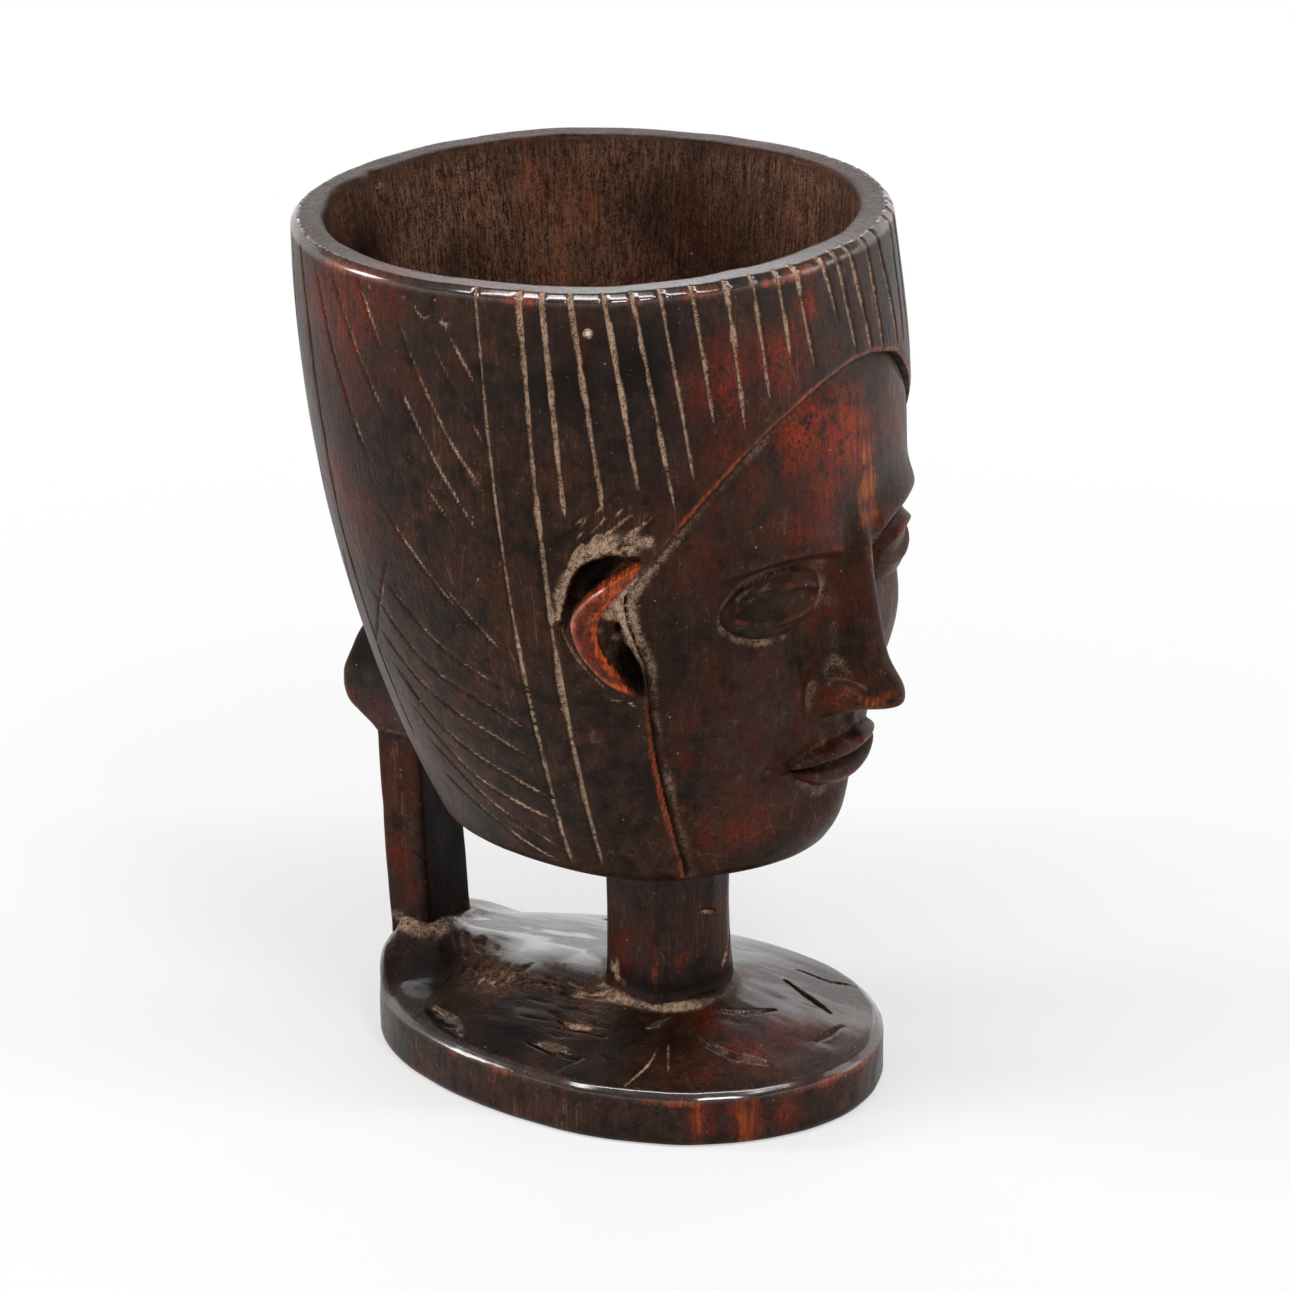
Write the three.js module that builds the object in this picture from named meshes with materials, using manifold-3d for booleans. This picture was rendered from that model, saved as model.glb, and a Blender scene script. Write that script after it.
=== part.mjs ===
// Palm-wine cup carved from one block of dark wood, in the form of a head.
// Millimetres, +Z up. The origin is the centre of the foot's underside and the face looks along -Y.
// The carved members are separate closed bodies: foot, neck, bowl, face, two ears, elbow and post.
import * as THREE from 'three';
import { mergeVertices } from 'three/addons/utils/BufferGeometryUtils.js';
import Module from 'manifold-3d';

// Clearance between carved members that meet on a curved or slanted surface
const seatGap = 0.3;

// Foot: oval plate, fuller towards the back, with a crest running from the neck to the post
const footLength = 115.5;
const footWidth = 86.6;
const footWidestY = -8;
const footFrontShape = 2;
const footBackShape = 2.25;
const footEdge = 12.3;
const footCrown = 7.7;
const footCrownShape = 1.7;
const footEdgeRound = 2;
const footHeelChamfer = 1.2;

// Neck: a column with twelve knife-cut facets
const neckY = -10.2;
const neckRadius = 13.4;
const neckFlare = 0.6;
const neckFlareHeight = 5.6;
const neckWaist = 0.7;
const neckWaistHeight = 20.6;
const neckFacets = 12;
const neckLength = 37.5;
const neckSeatDepth = 1.5;

// Head: every level is a rounded oval about a centre that moves back as it rises
const headHeight = 134;
const headShape = 2.15;
const underHalfWidth = 36;
const underFrontReach = 37;
const underBackReach = 47;
const underSetback = 4.2;
const underRound = 4;
const rimHalfWidth = 65;
const rimHalfLength = 60;
const rimSetback = 19.4;
const rimWall = 7.6;
const rimRound = 1.6;
const sideSwell = 2.6;
const backSwell = 2;
const foreheadSwell = 10;

// Inside of the cup
const floorThickness = 16;
const floorWall = 14;
const floorRound = 12;

// Face: a panel under an arched hairline, in three equal thirds as in a drawing manual
const faceHalfAngle = 52;
const faceDepth = 7;
const hairlineHeight = 111;
const hairlineDrop = 34;
const skinStep = 1.6;
const browRelief = 2.6;
const socketDepth = 2.4;
const eyeRelief = 3.6;
const eyeHeight = 9;
const noseRelief = 12;
const noseWidth = 21;
const wingRelief = 3;
const mouthWidth = 36;
const lipRelief = 4.6;
const muzzleRelief = 3.2;
const chinRelief = 4.4;
const chinTuck = 2.4;
const cheekFade = 6;
const pocketReach = 36;

// Where the features lie, as shares of a third of the face
const eyeDrop = 0.25;
const mouthDrop = 0.33;
const chinRise = 0.2;
const lipParting = 0.11;
const wingRise = 0.125;

// Half-spans of the soft forms: across as shares of an eye, the nose or the mouth,
// upright as shares of a third of the face
const browSpan = [0.8, 0.14];
const socketSpan = [0.7, 0.28];
const lidSpan = 0.56;
const noseRoot = 0.2;
const noseTip = 0.31;
const noseRise = 1.3;
const wingSpan = [0.2, 0.125];
const wingPlace = 0.38;
const muzzleSpan = [0.6, 0.45];
const upperLipSpan = [0.42, 0.077];
const lowerLipSpan = [0.36, 0.083];
const chinSpan = [0.4, 0.25];

// Ears: upright crescents, open to the front
const earMiddle = 65;
const earHeight = 33;
const earTipAngle = 53.5;
const earBackAngle = 69;
const earTipProud = 5.8;
const earBackProud = 1.6;
const earBand = 7.5;
const earTipBand = 3.2;
const earDepth = 14;

// Handle: an upright post and the angular elbow that joins it to the back of the head
const postWidth = 15.7;
const postThickness = 10.5;
const postFootY = 50.2;
const postLean = 3.2;
const postCorner = 1.4;
const postSeatDepth = 8.6;
const elbowDrop = 9;
const elbowKneeBottom = 18;
const elbowKneeTop = 23.5;
const elbowTop = 41;
const elbowKneeWidth = 20.6;
const elbowTopWidth = 17;
const elbowKneeReach = 65.8;
const elbowTopReach = 57.5;

// How finely the round shapes are cut
const headFacets = 48;
const headRows = 12;
const cavityRows = 9;
const rowCrowding = 1.3;
const roundSteps = 3;
const footFacets = 56;
const crownRows = 7;
const faceColumns = 36;
const faceRows = 36;
const pocketColumns = 12;
const pocketRows = 12;
const earSteps = 12;

// Places that follow from the sizes above
const crestZ = footEdge + footCrown;
const neckSeatZ = crestZ - neckSeatDepth;
const undersideZ = neckSeatZ + neckLength;
const rimZ = undersideZ + headHeight;
const floorZ = undersideZ + floorThickness;
const underCentreY = neckY + underSetback;
const rimCentreY = neckY + rimSetback;
const postSeatZ = crestZ - postSeatDepth;
const postTopZ = undersideZ + elbowDrop;
const postTopY = postFootY + postLean;

const { lerp, clamp, degToRad } = THREE.MathUtils;

// Signed power, for ovals that are squarer or more pointed than an ellipse
function signedPower(value, power) {
  return Math.sign(value) * Math.abs(value) ** power;
}

// Fast rise that levels off towards the top
function swell(share, power) {
  return 1 - (1 - share) ** power;
}

// Soft round bump centred on (cx, cz) with the given half-widths
function bump(x, z, cx, cz, wide, high) {
  return Math.exp(-(((x - cx) / wide) ** 2) - ((z - cz) / high) ** 2);
}

// Closed body through a stack of rings, each counter-clockwise seen from above
function loft(rings) {
  const count = rings[0].length;
  const points = rings.flat();
  const bottomCentre = points.length;
  const topCentre = bottomCentre + 1;
  for (const ring of [rings[0], rings.at(-1)]) {
    const middle = new THREE.Vector3();
    ring.forEach((point) => middle.add(point));
    points.push(middle.divideScalar(count));
  }
  const faces = [];
  for (let i = 0; i < count; i += 1) {
    const next = (i + 1) % count;
    for (let base = 0; base < bottomCentre - count; base += count) {
      faces.push(base + i, base + next, base + count + next);
      faces.push(base + i, base + count + next, base + count + i);
    }
    const top = bottomCentre - count;
    faces.push(bottomCentre, next, i, topCentre, top + i, top + next);
  }
  return bodyFrom(points, faces);
}

function bodyFrom(points, faces) {
  const geometry = new THREE.BufferGeometry().setFromPoints(points);
  geometry.setIndex(faces);
  return geometry;
}

// Centre and half-sizes of the head's oval at height z
function headOval(z) {
  const share = clamp((z - undersideZ) / headHeight, 0, 1);
  const centreY = lerp(underCentreY, rimCentreY, share);
  const rise = swell(share, backSwell);
  const backY = lerp(underCentreY + underBackReach, rimCentreY + rimHalfLength, rise);
  const straightFrontY = lerp(underCentreY - underFrontReach, rimCentreY - rimHalfLength, share);
  const frontY = straightFrontY - foreheadSwell * Math.sin(Math.PI * share);
  const halfWidth = lerp(underHalfWidth, rimHalfWidth, swell(share, sideSwell));
  return { centreY, halfWidth, front: centreY - frontY, back: backY - centreY };
}

// Point on the head at an angle from the face's middle, turning towards +X
function headPoint(angle, z, offset = 0) {
  const oval = headOval(z);
  const side = Math.sin(angle);
  const ahead = Math.cos(angle);
  const reach = ahead > 0 ? oval.front : oval.back;
  const sum = Math.abs(side / oval.halfWidth) ** headShape + Math.abs(ahead / reach) ** headShape;
  const radius = sum ** (-1 / headShape) + offset;
  return new THREE.Vector3(radius * side, oval.centreY - radius * ahead, z);
}

function headRing(z, offset) {
  const ring = [];
  for (let i = 0; i < headFacets; i += 1) {
    ring.push(headPoint((2 * Math.PI * i) / headFacets, z, offset));
  }
  return ring;
}

// Quarter round as [inset, rise] pairs, from the wall (0, 0) over to the flat (radius, radius)
function quarterRound(radius) {
  const pairs = [];
  for (let step = 0; step <= roundSteps; step += 1) {
    const turn = (Math.PI / 2) * (step / roundSteps);
    pairs.push([radius * (1 - Math.cos(turn)), radius * Math.sin(turn)]);
  }
  return pairs;
}

// Outside of the head from its underside to the rim
function outerRings(offset = 0) {
  const rings = quarterRound(underRound)
    .reverse()
    .map(([inset, rise]) => headRing(undersideZ + underRound - rise - offset, offset - inset));
  const wallStart = undersideZ + underRound;
  const wallHeight = rimZ - rimRound - wallStart;
  for (let row = 1; row < headRows; row += 1) {
    rings.push(headRing(wallStart + wallHeight * (row / headRows) ** rowCrowding, offset));
  }
  quarterRound(rimRound).forEach(([inset, rise]) => {
    rings.push(headRing(rimZ - rimRound + rise + offset, offset - inset));
  });
  return rings;
}

// Inside of the cup from the rim down to its floor
function cavityRings() {
  const rings = quarterRound(rimRound)
    .reverse()
    .map(([inset, rise]) => headRing(rimZ - rimRound + rise, -rimWall + inset));
  const wallFoot = floorZ + floorRound;
  const wallHeight = rimZ - rimRound - wallFoot;
  for (let row = 1; row < cavityRows; row += 1) {
    const share = row / cavityRows;
    rings.push(headRing(wallFoot + wallHeight * (1 - share), -lerp(rimWall, floorWall, share)));
  }
  quarterRound(floorRound).forEach(([inset, rise]) => {
    rings.push(headRing(wallFoot - rise, -floorWall - inset));
  });
  return rings;
}

// Height of the hairline at an angle from the face's middle
function hairlineZ(angle) {
  return undersideZ + hairlineHeight - hairlineDrop * (angle / degToRad(faceHalfAngle)) ** 2;
}

// Soft form of the face at (cx, cz), as wide as shares of a feature and as high as shares of a third
function softForm(x, z, cx, cz, feature, third, [across, upright]) {
  return bump(x, z, cx, cz, feature * across, third * upright);
}

// Relief of a calm, plain face: thirds from hairline to chin, the head five eyes wide
function faceRelief(x, z) {
  const third = hairlineHeight / 3;
  const browZ = undersideZ + 2 * third;
  const noseBaseZ = undersideZ + third;
  const eyeZ = browZ - third * eyeDrop;
  const mouthZ = noseBaseZ - third * mouthDrop;
  const chinZ = undersideZ + third * chinRise;
  const eyeWidth = (2 * headOval(eyeZ).halfWidth) / 5;
  const side = Math.abs(x);
  const brow = softForm(side, z, eyeWidth, browZ, eyeWidth, third, browSpan);
  const socket = softForm(side, z, eyeWidth, eyeZ, eyeWidth, third, socketSpan);
  const lidX = (side - eyeWidth) / (eyeWidth * lidSpan);
  const lidZ = (z - eyeZ) / eyeHeight;
  const lid = Math.sqrt(Math.max(0, 1 - lidX ** 2 - lidZ ** 2));
  const down = clamp((browZ - z) / (browZ - noseBaseZ), 0, 1);
  const under = clamp((z - noseBaseZ) / (third * wingRise) + 1, 0, 1);
  const ridge = bump(x, 0, 0, 0, noseWidth * lerp(noseRoot, noseTip, down), 1);
  const root = bump(0, Math.max(z, browZ), 0, browZ, 1, third * eyeDrop);
  const nose = ridge * lerp(noseRoot, 1, down ** noseRise) * under * root;
  const wingZ = noseBaseZ + third * wingRise;
  const wings = softForm(side, z, noseWidth * wingPlace, wingZ, noseWidth, third, wingSpan);
  const muzzle = softForm(x, z, 0, mouthZ, mouthWidth, third, muzzleSpan);
  const parting = third * lipParting;
  const upperLip = softForm(x, z, 0, mouthZ + parting, mouthWidth, third, upperLipSpan);
  const lowerLip = softForm(x, z, 0, mouthZ - parting, mouthWidth, third, lowerLipSpan);
  const chin = softForm(x, z, 0, chinZ, mouthWidth, third, chinSpan);
  return (
    browRelief * brow - socketDepth * socket + eyeRelief * lid + noseRelief * nose + wingRelief * wings +
    muzzleRelief * muzzle + lipRelief * (upperLip + lowerLip) + chinRelief * chin
  );
}

// Wedge of the head from its axis out to a surface, bounded by the hairline, the jaw sides and the underside
function faceWedge(columns, rows, margin, outward) {
  const sideMargin = margin / underFrontReach;
  const points = [];
  for (let row = 0; row <= rows; row += 1) {
    for (let column = 0; column <= columns; column += 1) {
      const angle = (degToRad(faceHalfAngle) + sideMargin) * ((2 * column) / columns - 1);
      const top = hairlineZ(angle) + margin;
      const z = lerp(undersideZ - margin, top, row / rows);
      points.push(headPoint(angle, z, outward(angle, z)));
    }
  }
  const axisBottom = points.length;
  const axisTop = axisBottom + 1;
  points.push(new THREE.Vector3(0, underCentreY, undersideZ - margin));
  const axisTopZ = hairlineZ(0) + margin;
  points.push(new THREE.Vector3(0, headOval(axisTopZ).centreY, axisTopZ));
  const stride = columns + 1;
  const faces = [];
  for (let row = 0; row < rows; row += 1) {
    const left = row * stride;
    const right = left + columns;
    for (let at = left; at < right; at += 1) {
      faces.push(at, at + 1, at + 1 + stride, at, at + 1 + stride, at + stride);
    }
    faces.push(left, left + stride, axisTop, right + stride, right, axisTop);
  }
  faces.push(0, axisTop, axisBottom, columns, axisBottom, axisTop);
  for (let column = 0; column < columns; column += 1) {
    const high = rows * stride + column;
    faces.push(axisBottom, column + 1, column, axisTop, high, high + 1);
  }
  return bodyFrom(points, faces);
}

// The face's skin lies a step below the hair and rounds under at the chin
function skinOffset(angle, z) {
  const base = headPoint(angle, z);
  const chinTurn = clamp((undersideZ + underRound - z) / underRound, 0, 1);
  const fade = clamp((degToRad(faceHalfAngle) - Math.abs(angle)) / degToRad(cheekFade), 0, 1);
  return fade * faceRelief(base.x, z) - skinStep - chinTuck * chinTurn ** 2;
}

// Outline of the foot, and the nearest point of the crest under it
function footPoint(turn, share, inset, z) {
  const ahead = Math.sin(turn) < 0;
  const shape = ahead ? footFrontShape : footBackShape;
  const reach = ahead ? footLength / 2 + footWidestY : footLength / 2 - footWidestY;
  const outline = new THREE.Vector3(
    (footWidth / 2) * signedPower(Math.cos(turn), 2 / shape),
    footWidestY + reach * signedPower(Math.sin(turn), 2 / shape),
    z,
  );
  const crest = new THREE.Vector3(0, clamp(outline.y, neckY - neckRadius / 2, postFootY), z);
  const spoke = outline.sub(crest);
  spoke.setLength((spoke.length() - inset) * share);
  return crest.add(spoke);
}

function footRing(share, inset, z) {
  const ring = [];
  for (let i = 0; i < footFacets; i += 1) {
    ring.push(footPoint((2 * Math.PI * i) / footFacets - Math.PI / 2, share, inset, z));
  }
  return ring;
}

function footBody() {
  const rings = [footRing(1, footHeelChamfer, 0), footRing(1, 0, footHeelChamfer)];
  quarterRound(footEdgeRound).forEach(([inset, rise]) => {
    rings.push(footRing(1, inset, footEdge - footEdgeRound + rise));
  });
  for (let row = 1; row <= crownRows; row += 1) {
    const share = 1 - row / (crownRows + 1);
    const z = footEdge + footCrown * (1 - share ** footCrownShape);
    rings.push(footRing(share, footEdgeRound, z));
  }
  return loft(rings);
}

function neckRing(z, radius) {
  const ring = [];
  for (let i = 0; i < neckFacets; i += 1) {
    const turn = (2 * Math.PI * (i + 0.5)) / neckFacets;
    ring.push(new THREE.Vector3(radius * Math.cos(turn), neckY + radius * Math.sin(turn), z));
  }
  return ring;
}

function neckBody() {
  return loft([
    neckRing(neckSeatZ, neckRadius + neckFlare),
    neckRing(neckSeatZ + neckFlareHeight, neckRadius),
    neckRing(neckSeatZ + neckWaistHeight, neckRadius - neckWaist),
    neckRing(undersideZ, neckRadius),
  ]);
}

// Rectangle with cut corners, seen from above
function boxRing(z, width, frontY, backY, grow = 0) {
  const half = width / 2 + grow;
  const low = frontY - grow;
  const high = backY + grow;
  const cut = postCorner;
  return [
    [half - cut, low], [half, low + cut], [half, high - cut], [half - cut, high],
    [cut - half, high], [-half, high - cut], [-half, low + cut], [cut - half, low],
  ].map(([x, y]) => new THREE.Vector3(x, y, z));
}

function postRing(z, grow = 0) {
  const middle = lerp(postFootY, postTopY, clamp((z - postSeatZ) / (postTopZ - postSeatZ), 0, 1));
  return boxRing(z, postWidth, middle - postThickness / 2, middle + postThickness / 2, grow);
}

// The elbow widens from the post to its knee and narrows again into the head
function elbowBlank() {
  const postFrontY = postTopY - postThickness / 2;
  const insideHead = postFrontY - elbowDrop / 2;
  return loft([
    postRing(postTopZ),
    boxRing(undersideZ + elbowKneeBottom, elbowKneeWidth, insideHead, elbowKneeReach),
    boxRing(undersideZ + elbowKneeTop, elbowKneeWidth, insideHead, elbowKneeReach),
    boxRing(undersideZ + elbowTop, elbowTopWidth, insideHead, elbowTopReach),
  ]);
}

// Crescent standing on the left side of the head; its flat face leans back with the head's side
function earBlank() {
  const z = undersideZ + earMiddle;
  const tip = headPoint(degToRad(earTipAngle), z, earTipProud);
  const back = headPoint(degToRad(earBackAngle), z, earBackProud);
  const along = new THREE.Vector3().subVectors(back, tip);
  const reach = along.length();
  const crescent = new THREE.Shape();
  crescent.absellipse(0, 0, reach, earHeight / 2, -Math.PI / 2, Math.PI / 2, false);
  const innerHeight = earHeight / 2 - earTipBand;
  crescent.absellipse(0, 0, reach - earBand, innerHeight, Math.PI / 2, -Math.PI / 2, true);
  const options = { depth: earDepth, bevelEnabled: false, curveSegments: earSteps };
  const geometry = new THREE.ExtrudeGeometry(crescent, options);
  geometry.translate(0, 0, -earDepth);
  along.normalize();
  const up = new THREE.Vector3(0, 0, 1);
  const frame = new THREE.Matrix4().makeBasis(along, up, along.clone().cross(up));
  frame.setPosition(tip);
  geometry.applyMatrix4(frame);
  return geometry;
}

// Same body on the other side of the head, with its faces turned out again
function mirrored(geometry) {
  const copy = geometry.clone();
  copy.scale(-1, 1, 1);
  const index = copy.getIndex();
  for (let i = 0; i < index.count; i += 3) {
    const second = index.getX(i + 1);
    index.setX(i + 1, index.getX(i + 2));
    index.setX(i + 2, second);
  }
  return copy;
}

const wasm = await Module();
wasm.setup();

function toSolid(geometry) {
  const bare = geometry.clone();
  bare.deleteAttribute('normal');
  bare.deleteAttribute('uv');
  const merged = mergeVertices(bare, 1e-4);
  return new wasm.Manifold(new wasm.Mesh({
    numProp: 3,
    vertProperties: new Float32Array(merged.attributes.position.array),
    triVerts: new Uint32Array(merged.index.array),
  }));
}

function toGeometry(solid) {
  const mesh = solid.getMesh();
  const geometry = new THREE.BufferGeometry();
  geometry.setAttribute('position', new THREE.BufferAttribute(mesh.vertProperties, 3));
  geometry.setIndex(new THREE.BufferAttribute(mesh.triVerts, 1));
  return geometry;
}

// Core of the head that is left standing behind the face
function headCore(offset) {
  const rings = [];
  for (let row = 0; row <= headRows; row += 1) {
    const z = lerp(undersideZ - underRound, rimZ + underRound, row / headRows);
    rings.push(headRing(z, offset));
  }
  return toSolid(loft(rings));
}

function carveFoot() {
  const aboveCrest = crestZ + neckSeatDepth;
  const neckSeat = loft([
    neckRing(neckSeatZ, neckRadius + neckFlare + seatGap),
    neckRing(aboveCrest, neckRadius + neckFlare + seatGap),
  ]);
  const postSeat = loft([postRing(postSeatZ, seatGap), postRing(aboveCrest, seatGap)]);
  return toSolid(footBody()).subtract(toSolid(neckSeat)).subtract(toSolid(postSeat));
}

function carveBowl() {
  const blank = toSolid(loft([...outerRings(), ...cavityRings()]));
  const pocketWedge = toSolid(faceWedge(pocketColumns, pocketRows, seatGap, () => pocketReach));
  return blank.subtract(pocketWedge.subtract(headCore(-faceDepth - seatGap)));
}

function carveFace() {
  return toSolid(faceWedge(faceColumns, faceRows, 0, skinOffset)).subtract(headCore(-faceDepth));
}

const headWithClearance = toSolid(loft(outerRings(seatGap)));

const wood = { roughness: 0.42, metalness: 0 };
const members = [
  ['foot', carveFoot(), 0x2a1610],
  ['neck', toSolid(neckBody()), 0x24130f],
  ['bowl', carveBowl(), 0x2b1915],
  ['face', carveFace(), 0x3a1a10],
  ['left_ear', toSolid(earBlank()).subtract(headWithClearance), 0x5a2412],
  ['right_ear', toSolid(mirrored(mergeVertices(earBlank()))).subtract(headWithClearance), 0x5a2412],
  ['handle_elbow', toSolid(elbowBlank()).subtract(headWithClearance), 0x2a1511],
  ['handle_post', toSolid(loft([postRing(postSeatZ), postRing(postTopZ)])), 0x331712],
];

const cup = new THREE.Group();
for (const [name, solid, color] of members) {
  const mesh = new THREE.Mesh(toGeometry(solid), new THREE.MeshStandardMaterial({ ...wood, color }));
  mesh.name = name;
  cup.add(mesh);
}

export default cup;
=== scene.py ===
# %% [markdown]
# # A wooden cup in the form of a head
# The real cup is carved from one block of dark wood and rubbed with wax for years of use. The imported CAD
# model gives every member its place and size. This lesson carves the same members again as fine meshes,
# with the hair grooves, knife marks, dust and worn edges that a plain solid leaves out.

# %% Load the fixed frame
import math
import bmesh
import bpy
import numpy as np
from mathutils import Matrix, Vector
from mathutils.kdtree import KDTree


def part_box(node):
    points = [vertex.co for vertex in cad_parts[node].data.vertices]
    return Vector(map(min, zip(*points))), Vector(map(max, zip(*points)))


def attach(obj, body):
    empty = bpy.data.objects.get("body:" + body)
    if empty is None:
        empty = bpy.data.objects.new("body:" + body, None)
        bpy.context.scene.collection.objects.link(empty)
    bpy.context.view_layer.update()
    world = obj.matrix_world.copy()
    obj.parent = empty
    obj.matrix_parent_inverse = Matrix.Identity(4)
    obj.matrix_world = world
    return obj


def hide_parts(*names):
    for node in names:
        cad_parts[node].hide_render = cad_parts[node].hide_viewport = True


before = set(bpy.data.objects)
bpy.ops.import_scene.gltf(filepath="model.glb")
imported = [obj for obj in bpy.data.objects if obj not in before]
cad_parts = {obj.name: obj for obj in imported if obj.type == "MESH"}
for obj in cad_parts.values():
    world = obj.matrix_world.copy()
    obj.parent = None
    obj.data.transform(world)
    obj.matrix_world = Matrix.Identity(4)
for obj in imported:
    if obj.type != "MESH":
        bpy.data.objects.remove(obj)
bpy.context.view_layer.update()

# %% [markdown]
# ## Where the members sit
# Carving is easier in millimetres, so every shape below is worked out in millimetres and turned into metres
# only when its mesh is made. The places come from the boxes of the CAD members.

# %% Boxes of the members
def member_box(node):
    low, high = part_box(node)
    return np.array(low) * 1000, np.array(high) * 1000


bowl_low, bowl_high = member_box("bowl")
neck_low, neck_high = member_box("neck")
foot_low, foot_high = member_box("foot")
post_low, post_high = member_box("handle_post")
underside, rim = bowl_low[2], bowl_high[2]
print("underside", underside, "rim", rim, "neck from", neck_low[2], "to", neck_high[2])

# %% [markdown]
# ## The camera
# The photograph looks at the cup from its left front, a little from above, through a long lens. The camera
# stands on a line from the middle of the cup, turned around the cup and raised by two angles.

# %% Set up the camera
def direction(turn, rise):
    """An arrow of length one away from the cup, turned around it and raised by two angles."""
    return Vector((math.sin(turn) * math.cos(rise), -math.cos(turn) * math.cos(rise), math.sin(rise)))


look_at, camera_distance = Vector((0.0045, -0.0009, 0.0933)), 1.1394
backward = direction(math.radians(-57.5), math.radians(20.3))

camera = bpy.data.objects.new("camera", bpy.data.cameras.new("camera"))
camera.data.sensor_width = 36
camera.data.lens = 148.64
camera.location = look_at + backward * camera_distance
camera.rotation_euler = backward.to_track_quat("Z", "Y").to_euler()
bpy.context.scene.collection.objects.link(camera)
bpy.context.scene.camera = camera
print("camera at", tuple(round(value, 3) for value in camera.location))

# %% [markdown]
# ## Sheets of points
# A carved surface can be seen as a woven sheet: rows and columns of points that are pushed in or out. One
# small class collects such sheets, welds them where their edges meet, and keeps six painted values at every
# point: dust in the cuts, which also paints some highlights; wear on the edges, which also paints a
# highlight;
# soot, which also paints shade in hollows, steps and hidden faces; the red of the wood, which in a few spots
# stands in for a sheen; and where the wood is bare or waxed. It also gives each sheet its own patch of a flat
# map, so that a texture can be baked later.

# %% The class that collects sheets
def between(low, high, share):
    return low + (high - low) * share


def shrinking(outline, hub, count):
    """Rows of points that shrink from an outline to one point."""
    return between(outline, hub, np.linspace(0, 1, count)[:, None, None])


class Carving:
    def __init__(self, name):
        self.name = name
        self.count = 0
        self.points, self.corners, self.lengths, self.places = [], [], [], []
        self.paint = {"dust": [], "wear": [], "soot": [], "red": [], "bare": [], "wax": []}

    def keep_points(self, points, paint):
        """Stores the points with their paint and gives back the number of each."""
        shape = points.shape[:-1]
        self.points.append(points.reshape(-1, 3))
        for key, values in self.paint.items():
            values.append(np.broadcast_to(paint.get(key, 0.0), shape).reshape(-1))
        first = self.count
        self.count += int(np.prod(shape))
        return first + np.arange(self.count - first).reshape(shape)

    def sheet(self, points, patch, **paint):
        """Quads over a grid of points; patch is its left, bottom, right and top in the flat map."""
        index = self.keep_points(points, paint)
        rows, columns = index.shape
        across, along = np.linspace(patch[0], patch[2], columns), np.linspace(patch[1], patch[3], rows)
        place = np.stack(np.meshgrid(across, along), -1)
        start, end = slice(None, -1), slice(1, None)
        around = [(start, start), (start, end), (end, end), (end, start)]
        self.corners.append(np.stack([index[corner] for corner in around], -1).reshape(-1))
        self.places.append(np.stack([place[corner] for corner in around], -2).reshape(-1, 2))
        self.lengths.append(np.full((rows - 1) * (columns - 1), 4))

    def strip(self, first, second, patch, **paint):
        """Quads between two lines of points."""
        self.sheet(np.stack([first, second]), patch, **paint)

    def caps(self, points, hubs, count, soot):
        """Closes the first and the last row of a column of points; the caps are painted dark as shade."""
        for row, hub, low in ((0, hubs[0], 0.12), (-1, hubs[1], 0.01)):
            self.sheet(shrinking(points[row], hub, count), (0, low, 1, low + 0.1), soot=soot)

    def coarse(self, points, patch, step_down, step_across, fine="top bottom left right", **paint):
        """Few large faces over a fine grid, which keep every point along the sides named in fine."""
        index = self.keep_points(points, paint)
        rows, columns = index.shape
        across, along = np.linspace(patch[0], patch[2], columns), np.linspace(patch[1], patch[3], rows)

        def walk(start, stop, is_fine):
            return range(start, stop, int(math.copysign(1, stop - start)) if is_fine else stop - start)

        for top in range(0, rows - 1, step_down):
            low = top + step_down
            for left in range(0, columns - 1, step_across):
                right = left + step_across
                ring = [(top, c) for c in walk(left, right, top == 0 and "top" in fine)]
                ring += [(r, right) for r in walk(top, low, right == columns - 1 and "right" in fine)]
                ring += [(low, c) for c in walk(right, left, low == rows - 1 and "bottom" in fine)]
                ring += [(r, left) for r in walk(low, top, left == 0 and "left" in fine)]
                self.corners.append(np.array([index[spot] for spot in ring]))
                self.places.append(np.array([(across[c], along[r]) for r, c in ring]))
                self.lengths.append(np.array([len(ring)]))

    def build(self, sharp):
        """Makes the mesh; edges that bend by more than sharp degrees stay crisp."""
        mesh = bpy.data.meshes.new(self.name)
        corners, lengths = np.concatenate(self.corners), np.concatenate(self.lengths)
        mesh.vertices.add(self.count)
        mesh.vertices.foreach_set("co", (np.concatenate(self.points) * 0.001).ravel())
        mesh.loops.add(len(corners))
        mesh.loops.foreach_set("vertex_index", corners)
        mesh.polygons.add(len(lengths))
        mesh.polygons.foreach_set("loop_start", np.concatenate([[0], np.cumsum(lengths)[:-1]]))
        mesh.update(calc_edges=True)
        flat_map = mesh.uv_layers.new(name="OFBake")
        flat_map.data.foreach_set("uv", np.concatenate(self.places).ravel())
        for key, values in self.paint.items():
            mesh.attributes.new(key, "FLOAT", "POINT").data.foreach_set("value", np.concatenate(values))
        skin = bmesh.new()
        skin.from_mesh(mesh)
        bmesh.ops.remove_doubles(skin, verts=skin.verts, dist=2e-6)
        bmesh.ops.delete(skin, geom=[v for v in skin.verts if not v.link_faces], context="VERTS")
        bmesh.ops.recalc_face_normals(skin, faces=skin.faces)
        open_edges = sum(len(edge.link_faces) != 2 for edge in skin.edges)
        skin.to_mesh(mesh)
        skin.free()
        mesh.polygons.foreach_set("use_smooth", np.ones(len(mesh.polygons), bool))
        mesh.set_sharp_from_angle(angle=math.radians(sharp))
        piece = bpy.data.objects.new(self.name, mesh)
        bpy.context.scene.collection.objects.link(piece)
        print(f"{self.name}: {len(mesh.polygons)} faces, {open_edges} open edges")
        return piece


print("painted at every point:", ", ".join(Carving("sample").paint))

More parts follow.
